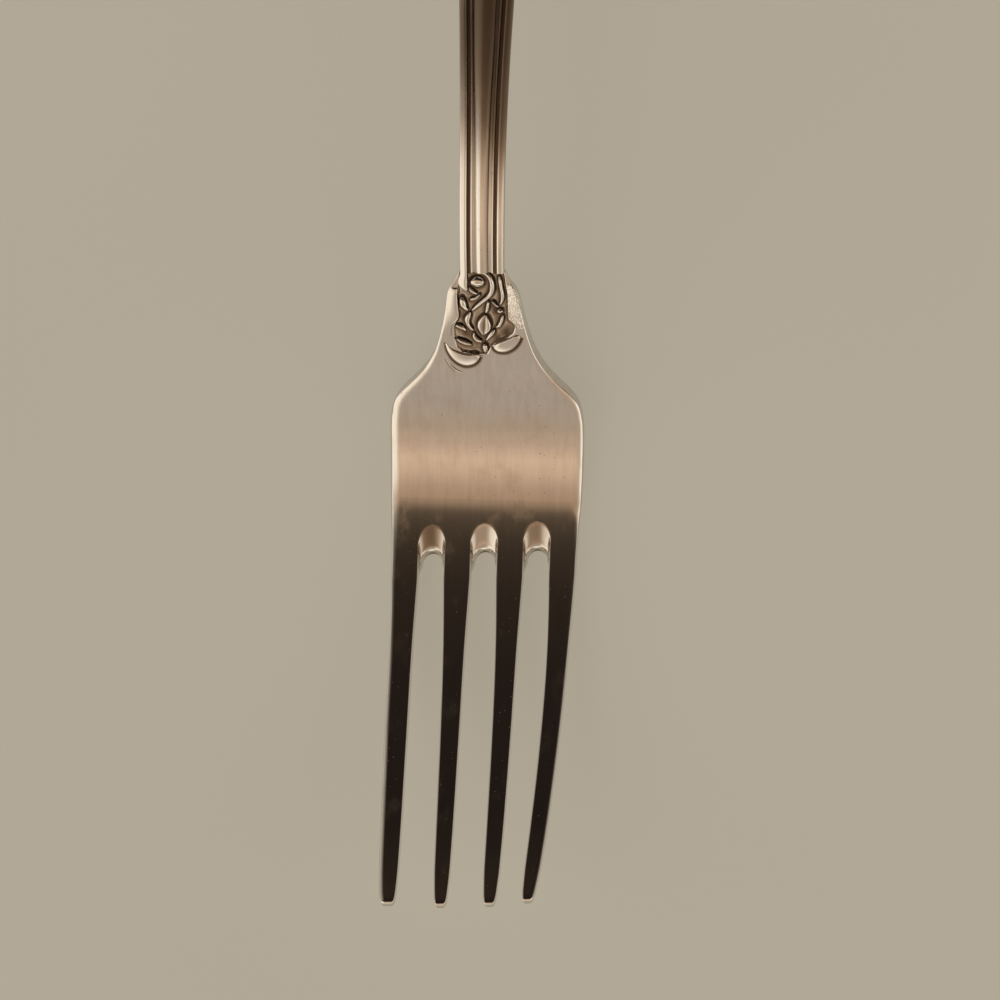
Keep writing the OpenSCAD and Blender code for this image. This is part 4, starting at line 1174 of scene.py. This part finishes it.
def ranged(tree, value, low, high, to_low=0.0, to_high=1.0, smooth=False):
    """A number taken from one range to another."""
    kind = "SMOOTHSTEP" if smooth else "LINEAR"
    inputs = {"Value": value, "From Min": low, "From Max": high, "To Min": to_low, "To Max": to_high}
    return node(tree, "ShaderNodeMapRange", interpolation_type=kind, inputs=inputs).outputs["Result"]


def noise(tree, place, scale, detail, rough=0.5):
    inputs = {"Vector": place, "Scale": scale, "Detail": detail, "Roughness": rough}
    return node(tree, "ShaderNodeTexNoise", inputs=inputs).outputs["Fac"]


# Scales of the marks along each axis, in marks a metre, and their turns in radians
STREAKS = ((1500, 110, 600), 0.06)
CLOUDS = ((260, 170, 260), 0)
SCRATCHES = (((9000, 160, 400), 0.35), ((9000, 220, 400), -0.5), ((9000, 120, 400), 0.03))
MARK_ROUGH = 0.6
# Parts of the noise that make a cloud and a scratch
CLOUD_RANGE = (0.5, 0.72)
SCRATCH_RANGE = (0.66, 0.74)
# Specks of dust: cells a metre, and the share of a cell that they fill, by a chance of its own for each cell
DUST_SCALE = 1500.0
DUST_RANGE = (0.25, 1.0, 0.0, 0.12)
# Roughness that clouds and tarnish add
CLOUD_ROUGH = 0.3
TARNISH_ROUGH = 0.35
SCRATCH_D, SCRATCH_STRENGTH = 0.004 * MM, 0.25
STIPPLE_D, STIPPLE_SCALE = 0.12 * MM, 3600.0


def grain_group():
    """Streaks, clouds, hairline scratches and dust of rubbed silver, shared by the three silvers."""
    group = bpy.data.node_groups.new("Rubbed grain", "ShaderNodeTree")
    for name in ("Streaks", "Patches"):
        socket = group.interface.new_socket(name, in_out="INPUT", socket_type="NodeSocketFloat")
        socket.default_value = 0.5
    for name in ("Shade", "Blotch", "Scratch", "Dust"):
        group.interface.new_socket(name, in_out="OUTPUT", socket_type="NodeSocketFloat")
    given = group.nodes.new("NodeGroupInput").outputs
    result = group.nodes.new("NodeGroupOutput").inputs
    place = node(group, "ShaderNodeTexCoord").outputs["Object"]

    def drawn(scale, turn, detail):
        inputs = {"Vector": place, "Scale": scale, "Rotation": (0, 0, turn)}
        mapped = node(group, "ShaderNodeMapping", inputs=inputs).outputs["Vector"]
        return noise(group, mapped, 1.0, detail, MARK_ROUGH)

    streak = calc(group, "MULTIPLY", calc(group, "SUBTRACT", drawn(*STREAKS, 3), 0.5), given["Streaks"])
    cloud = ranged(group, drawn(*CLOUDS, 4), *CLOUD_RANGE, smooth=True)
    cloud = calc(group, "MULTIPLY", cloud, given["Patches"])
    scratch = 0.0
    for scale, turn in SCRATCHES:
        line = ranged(group, drawn(scale, turn, 0), *SCRATCH_RANGE)
        scratch = calc(group, "MAXIMUM", scratch, line)
    inputs = {"Vector": place, "Scale": DUST_SCALE, "Randomness": 1.0}
    cells = node(group, "ShaderNodeTexVoronoi", inputs=inputs).outputs
    chance = node(group, "ShaderNodeSeparateColor", inputs={"Color": cells["Color"]}).outputs["Red"]
    speck = calc(group, "LESS_THAN", cells["Distance"], ranged(group, chance, *DUST_RANGE))
    for name, value in (("Shade", streak), ("Blotch", cloud), ("Scratch", scratch), ("Dust", speck)):
        group.links.new(value, result[name])
    return group


def silver_material(name, grain, polish, tarnish_gain, streaks, patches, stipple=0.0):
    """Silver that is rubbed on its high places and dark with oxide in its recesses, and with painted shade
    and painted dark reflection where its tarnish attribute holds them.
    """
    finish = bpy.context.scene.silver_finish
    material = bpy.data.materials.new(name)
    material.use_nodes = True
    tree = material.node_tree
    tree.nodes.clear()
    marks = node(
        tree, "ShaderNodeGroup", node_tree=grain, inputs={"Streaks": streaks, "Patches": patches}
    ).outputs
    # The tarnish attribute holds oxide, and on some pieces painted shade and painted dark reflection
    stored = node(tree, "ShaderNodeAttribute", attribute_name="tarnish_and_shade", attribute_type="GEOMETRY")
    dark = calc(tree, "MULTIPLY", stored.outputs["Fac"], tarnish_gain, clamp=True)
    tint = blended(tree, marks["Blotch"], (*finish.clean, 1), (*finish.warm, 1))
    tint = scaled(tree, tint, calc(tree, "ADD", marks["Shade"], 1.0))
    brown = calc(tree, "MULTIPLY", dark, 2.0, clamp=True)
    black = calc(tree, "MULTIPLY_ADD", dark, 2.0, -1.0, clamp=True)
    for amount, over in ((brown, finish.brown), (black, finish.tarnish_and_shade), (marks["Dust"], finish.dust)):
        tint = blended(tree, amount, tint, (*over, 1))
    bare = calc(tree, "SUBTRACT", 1.0, marks["Dust"])
    rough = calc(tree, "MULTIPLY_ADD", marks["Blotch"], CLOUD_ROUGH, polish)
    rough = calc(tree, "MULTIPLY_ADD", dark, TARNISH_ROUGH, rough)
    inputs = {"Height": marks["Scratch"], "Strength": SCRATCH_STRENGTH, "Distance": SCRATCH_D}
    bump = node(tree, "ShaderNodeBump", invert=True, inputs=inputs).outputs["Normal"]
    if stipple:
        dots = noise(tree, node(tree, "ShaderNodeTexCoord").outputs["Object"], STIPPLE_SCALE, 1.0)
        inputs = {"Height": dots, "Strength": stipple, "Distance": STIPPLE_D, "Normal": bump}
        bump = node(tree, "ShaderNodeBump", inputs=inputs).outputs["Normal"]
    inputs = {"Base Color": tint, "Roughness": rough, "Metallic": bare, "Normal": bump}
    shader = node(tree, "ShaderNodeBsdfPrincipled", inputs=inputs)
    output = tree.nodes.new("ShaderNodeOutputMaterial")
    tree.links.new(shader.outputs["BSDF"], output.inputs["Surface"])
    return material


# The three silvers: name, strength of tarnish with its painted shade, of streaks and of clouds, and stipple
SILVERS = (
    ("Struck silver", 0.96, 0.5, 0.45, 0.0),
    ("Chased silver", 0.92, 0.2, 0.3, 0.0),
    ("Stippled silver", 0.92, 0.2, 0.3, 1.0),
)


def finishes():
    """The three silvers, made once."""
    finish = bpy.context.scene.silver_finish
    if SILVERS[0][0] not in bpy.data.materials:
        grain = grain_group()
        for name, tarnish_and_shade, streaks, clouds, stipple in SILVERS:
            polish = finish.polish if name == SILVERS[0][0] else finish.relief_polish
            silver_material(name, grain, polish, tarnish_and_shade, streaks * finish.streaks, clouds, stipple)
    return [bpy.data.materials[row[0]] for row in SILVERS]


# Studio

# Light from directions along the fork, as (degrees from overhead towards the tines' end, colour)
LIGHT_ALONG = (
    (-90, (0.62, 0.57, 0.49)), (-72, (0.46, 0.41, 0.34)), (-60, (0.12, 0.09, 0.065)),
    (-48, (0.03, 0.02, 0.014)), (-36, (0.014, 0.01, 0.008)), (-20, (0.018, 0.012, 0.0095)),
    (-11, (0.026, 0.018, 0.013)), (-6.7, (0.038, 0.026, 0.018)), (-4.6, (0.05, 0.035, 0.024)),
    (-2.2, (0.075, 0.054, 0.036)), (-1.1, (0.1, 0.071, 0.048)), (-0.3, (0.4, 0.27, 0.175)),
    (2, (0.41, 0.28, 0.185)), (7, (0.46, 0.325, 0.225)), (14, (0.6, 0.43, 0.3)), (20, (0.66, 0.48, 0.34)),
    (28, (0.52, 0.38, 0.28)), (38, (0.42, 0.325, 0.245)), (52, (0.4, 0.335, 0.275)), (66, (0.44, 0.37, 0.3)),
    (77, (1.35, 1.25, 1.08)), (90, (1.35, 1.25, 1.08)),
)
# Light from the sides, as (degrees from the middle towards the left, colour)
LIGHT_ACROSS = (
    (-90, (1.2, 1.12, 1)), (-66, (1.15, 1.05, 0.92)), (-48, (0.92, 0.82, 0.68)), (-34, (0.52, 0.43, 0.32)),
    (-20, (0.42, 0.34, 0.25)), (14, (0.78, 0.65, 0.5)), (30, (0.96, 0.85, 0.7)), (66, (1.02, 0.93, 0.81)),
    (90, (1.2, 1.12, 1)),
)
# Share of the side light by degrees from the middle towards the left: in the lit half, above the stem's
# dark reflection and above the tines' dark reflection
LIT_SIDES = ((-90, 1.0), (-44, 0.9), (-14, 0.0), (10, 0.0), (28, 1.0), (90, 1.0))
STEM_SIDES = (
    (-90, 1.0), (-80, 0.4), (-66, 0.05), (-30, 0.0), (18, 0.0), (35, 0.06), (55, 0.15), (75, 0.5), (90, 1.0),
)
TINE_SIDES = (
    (-90, 1.0), (-80, 0.3), (-60, 0.1), (-25, 0.0), (14, 0.0), (32, 0.25), (60, 0.4), (80, 0.6), (90, 1.0),
)
# Where the tines' shares replace the stem's, and where those of the lit half replace both, by degrees from
# overhead towards the tines' end
TINE_ZONE = ((-90, 1.0), (-30, 1.0), (-18, 0.0), (90, 0.0))
LIT_ZONE = ((-90, 1.0), (-80, 0.7), (-60, 0.0), (-6, 0.0), (3, 0.3), (12, 0.75), (24, 1.0), (90, 1.0))

# Height, as a share of the distance, over which the floor's colour turns into the light above it
HORIZON_Z = 0.2


def ramp(tree, angle, stops):
    """Colour by an angle in radians, from stops in degrees."""
    place = ranged(tree, angle, -math.pi / 2, math.pi / 2)
    made = node(tree, "ShaderNodeValToRGB", inputs={"Fac": place})
    elements = made.color_ramp.elements
    while len(elements) > 1:
        elements.remove(elements[-1])
    for index, (degrees, value) in enumerate(stops):
        spot = elements[0] if index == 0 else elements.new((degrees + 90) / 180)
        spot.position = (degrees + 90) / 180
        spot.color = (*value, 1) if isinstance(value, tuple) else (value, value, value, 1)
    return made.outputs["Color"]


def build_world(light):
    world = bpy.data.worlds.new("Studio light")
    bpy.context.scene.world = world
    world.use_nodes = True
    tree = world.node_tree
    tree.nodes.clear()
    way = node(tree, "ShaderNodeTexCoord").outputs["Generated"]
    parts = node(tree, "ShaderNodeSeparateXYZ", inputs={0: way}).outputs
    along = calc(tree, "ARCTAN2", calc(tree, "MULTIPLY", parts["Y"], -1.0), parts["Z"])
    across = calc(tree, "ARCSINE", calc(tree, "MULTIPLY", parts["X"], -1.0))
    sides = [ramp(tree, across, stops) for stops in (STEM_SIDES, TINE_SIDES, LIT_SIDES)]
    share_across = blended(tree, ramp(tree, along, TINE_ZONE), *sides[:2], colours=False)
    share_across = blended(tree, ramp(tree, along, LIT_ZONE), share_across, sides[2], colours=False)
    shone = blended(tree, share_across, ramp(tree, along, LIGHT_ALONG), ramp(tree, across, LIGHT_ACROSS))
    floor_colour = (*(part / light.level for part in light.backdrop), 1)
    colour = blended(tree, ranged(tree, parts["Z"], 0.0, HORIZON_Z, smooth=True), floor_colour, shone)
    background = node(tree, "ShaderNodeBackground", inputs={"Color": colour, "Strength": light.level})
    output = tree.nodes.new("ShaderNodeOutputWorld")
    tree.links.new(background.outputs[0], output.inputs["Surface"])


# Floor: radius, corners, roughness, clouds a metre, and from which noise to which shade they go
FLOOR_R = 3.0
FLOOR_CORNERS = 96
FLOOR_ROUGH = 0.6
FLOOR_SCALE = 9.0
FLOOR_RANGE = (0.3, 0.7, 0.96, 1.03)


def build_floor(light):
    deselect()
    bpy.ops.mesh.primitive_circle_add(vertices=FLOOR_CORNERS, radius=FLOOR_R, fill_type="NGON")
    floor = bpy.context.object
    floor.name = "floor"
    material = bpy.data.materials.new("Pale floor")
    material.use_nodes = True
    tree = material.node_tree
    shader = tree.nodes["Principled BSDF"]
    place = node(tree, "ShaderNodeTexCoord").outputs["Object"]
    shade = ranged(tree, noise(tree, place, FLOOR_SCALE, 2.0), *FLOOR_RANGE)
    tree.links.new(scaled(tree, tuple(light.floor), shade), shader.inputs["Base Color"])
    shader.inputs["Roughness"].default_value = FLOOR_ROUGH
    path = node(tree, "ShaderNodeLightPath").outputs
    seen = calc(tree, "MAXIMUM", path["Is Camera Ray"], path["Is Glossy Ray"])
    seen = calc(tree, "MULTIPLY", seen, light.backdrop_share)
    inputs = {"Color": (*light.backdrop, 1), "Strength": 1.0}
    plain = node(tree, "ShaderNodeEmission", inputs=inputs).outputs[0]
    inputs = {0: seen, 1: shader.outputs["BSDF"], 2: plain}
    blend = node(tree, "ShaderNodeMixShader", inputs=inputs).outputs[0]
    tree.links.new(blend, tree.nodes["Material Output"].inputs["Surface"])
    floor.data.materials.append(material)


# Nearest and farthest distance that the camera sees
CAMERA_CLIP = (0.01, 20)


def build_camera(form, light):
    """Camera above the palm, a little to the right, as the photograph was taken."""
    roll, turn = math.radians(light.camera_roll), math.radians(light.camera_turn)
    back = Vector((math.sin(roll), 0, math.cos(roll)))
    right = Vector((math.cos(roll), 0, -math.sin(roll)))
    up = Vector((0, 1, 0))
    across = right * math.cos(turn) + up * math.sin(turn)
    upward = up * math.cos(turn) - right * math.sin(turn)
    x, y, z = form.at(form.low_at, 0, 0)
    middle = Vector((x, y, z)) + across * light.frame_side
    data = bpy.data.cameras.new("Camera")
    camera = bpy.data.objects.new("Camera", data)
    bpy.context.scene.collection.objects.link(camera)
    turned = Matrix((across, upward, back)).transposed().to_4x4()
    camera.matrix_world = Matrix.Translation(middle + back * light.camera_d) @ turned
    data.lens = data.sensor_width * light.camera_d / light.frame_w
    data.clip_start, data.clip_end = CAMERA_CLIP
    bpy.context.scene.camera = camera


def build_stage(form, light):
    build_floor(light)
    build_world(light)
    build_camera(form, light)
    view = bpy.context.scene.view_settings
    view.view_transform = "Standard"


def current_form():
    return Form(bpy.context.scene.fork_sizes)


class FORK_OT_tines(bpy.types.Operator):
    """Make the four tines with their scooped slot ends"""

    bl_idname = "fork.tines"
    bl_label = "Tines"

    def execute(self, context):
        build_tines(current_form(), finishes()[0])
        return {"FINISHED"}


class FORK_OT_palm(bpy.types.Operator):
    """Make the palm above the slots"""

    bl_idname = "fork.palm"
    bl_label = "Palm"

    def execute(self, context):
        build_palm(current_form(), finishes()[0])
        return {"FINISHED"}


class FORK_OT_shoulder(bpy.types.Operator):
    """Make the shoulder plate with the sunk ground of its ornament"""

    bl_idname = "fork.shoulder"
    bl_label = "Shoulder"

    def execute(self, context):
        build_shoulder(current_form(), finishes()[0])
        return {"FINISHED"}


class FORK_OT_wings(bpy.types.Operator):
    """Make the two raised wings of the shoulder"""

    bl_idname = "fork.wings"
    bl_label = "Wings"

    def execute(self, context):
        build_wings(current_form(), *finishes()[1:])
        return {"FINISHED"}


class FORK_OT_ornament(bpy.types.Operator):
    """Make the scrolls, leaves and beads of the shoulder"""

    bl_idname = "fork.ornament"
    bl_label = "Shoulder ornament"

    def execute(self, context):
        build_ornament(current_form(), finishes()[1])
        return {"FINISHED"}


class FORK_OT_stem(bpy.types.Operator):
    """Make the stem and the handle"""

    bl_idname = "fork.stem"
    bl_label = "Stem and handle"

    def execute(self, context):
        build_stem(current_form(), finishes()[0])
        return {"FINISHED"}


class FORK_OT_border(bpy.types.Operator):
    """Make the border reeds and threads"""

    bl_idname = "fork.border"
    bl_label = "Reeds and threads"

    def execute(self, context):
        build_border(current_form(), finishes()[1])
        return {"FINISHED"}


class FORK_OT_rib(bpy.types.Operator):
    """Make the centre rib"""

    bl_idname = "fork.rib"
    bl_label = "Centre rib"

    def execute(self, context):
        build_rib(current_form(), finishes()[1])
        return {"FINISHED"}


class FORK_OT_end_ornament(bpy.types.Operator):
    """Make the leaf and scrolls at the end of the handle"""

    bl_idname = "fork.end_ornament"
    bl_label = "End ornament"

    def execute(self, context):
        build_end_ornament(current_form(), finishes()[1])
        return {"FINISHED"}


class FORK_OT_stage(bpy.types.Operator):
    """Set the floor, the light and the camera"""

    bl_idname = "fork.stage"
    bl_label = "Floor, light and camera"

    def execute(self, context):
        build_stage(current_form(), context.scene.studio_light)
        return {"FINISHED"}


PARTS = (
    FORK_OT_tines, FORK_OT_palm, FORK_OT_shoulder, FORK_OT_wings, FORK_OT_ornament, FORK_OT_stem,
    FORK_OT_border, FORK_OT_rib, FORK_OT_end_ornament, FORK_OT_stage,
)


class FORK_PT_panel(bpy.types.Panel):
    """Buttons for the fork's pieces, and its sizes"""

    bl_label = "Silver dinner fork"
    bl_idname = "FORK_PT_panel"
    bl_space_type = "VIEW_3D"
    bl_region_type = "UI"
    bl_category = "Fork"

    def draw(self, context):
        column = self.layout.column()
        for part in PARTS:
            column.operator(part.bl_idname)
        for group in (context.scene.fork_sizes, context.scene.silver_finish, context.scene.studio_light):
            for name in group.__annotations__:
                column.prop(group, name)


CLASSES = (ForkSizes, SilverFinish, StudioLight, *PARTS, FORK_PT_panel)


def register():
    for kind in CLASSES:
        bpy.utils.register_class(kind)
    bpy.types.Scene.fork_sizes = PointerProperty(type=ForkSizes)
    bpy.types.Scene.silver_finish = PointerProperty(type=SilverFinish)
    bpy.types.Scene.studio_light = PointerProperty(type=StudioLight)


def unregister():
    for name in ("fork_sizes", "silver_finish", "studio_light"):
        delattr(bpy.types.Scene, name)
    for kind in reversed(CLASSES):
        bpy.utils.unregister_class(kind)


def main():
    register()
    bpy.ops.fork.tines()
    bpy.ops.fork.palm()
    bpy.ops.fork.shoulder()
    bpy.ops.fork.wings()
    bpy.ops.fork.ornament()
    bpy.ops.fork.stem()
    bpy.ops.fork.border()
    bpy.ops.fork.rib()
    bpy.ops.fork.end_ornament()
    bpy.ops.fork.stage()


if __name__ == "__main__":
    main()
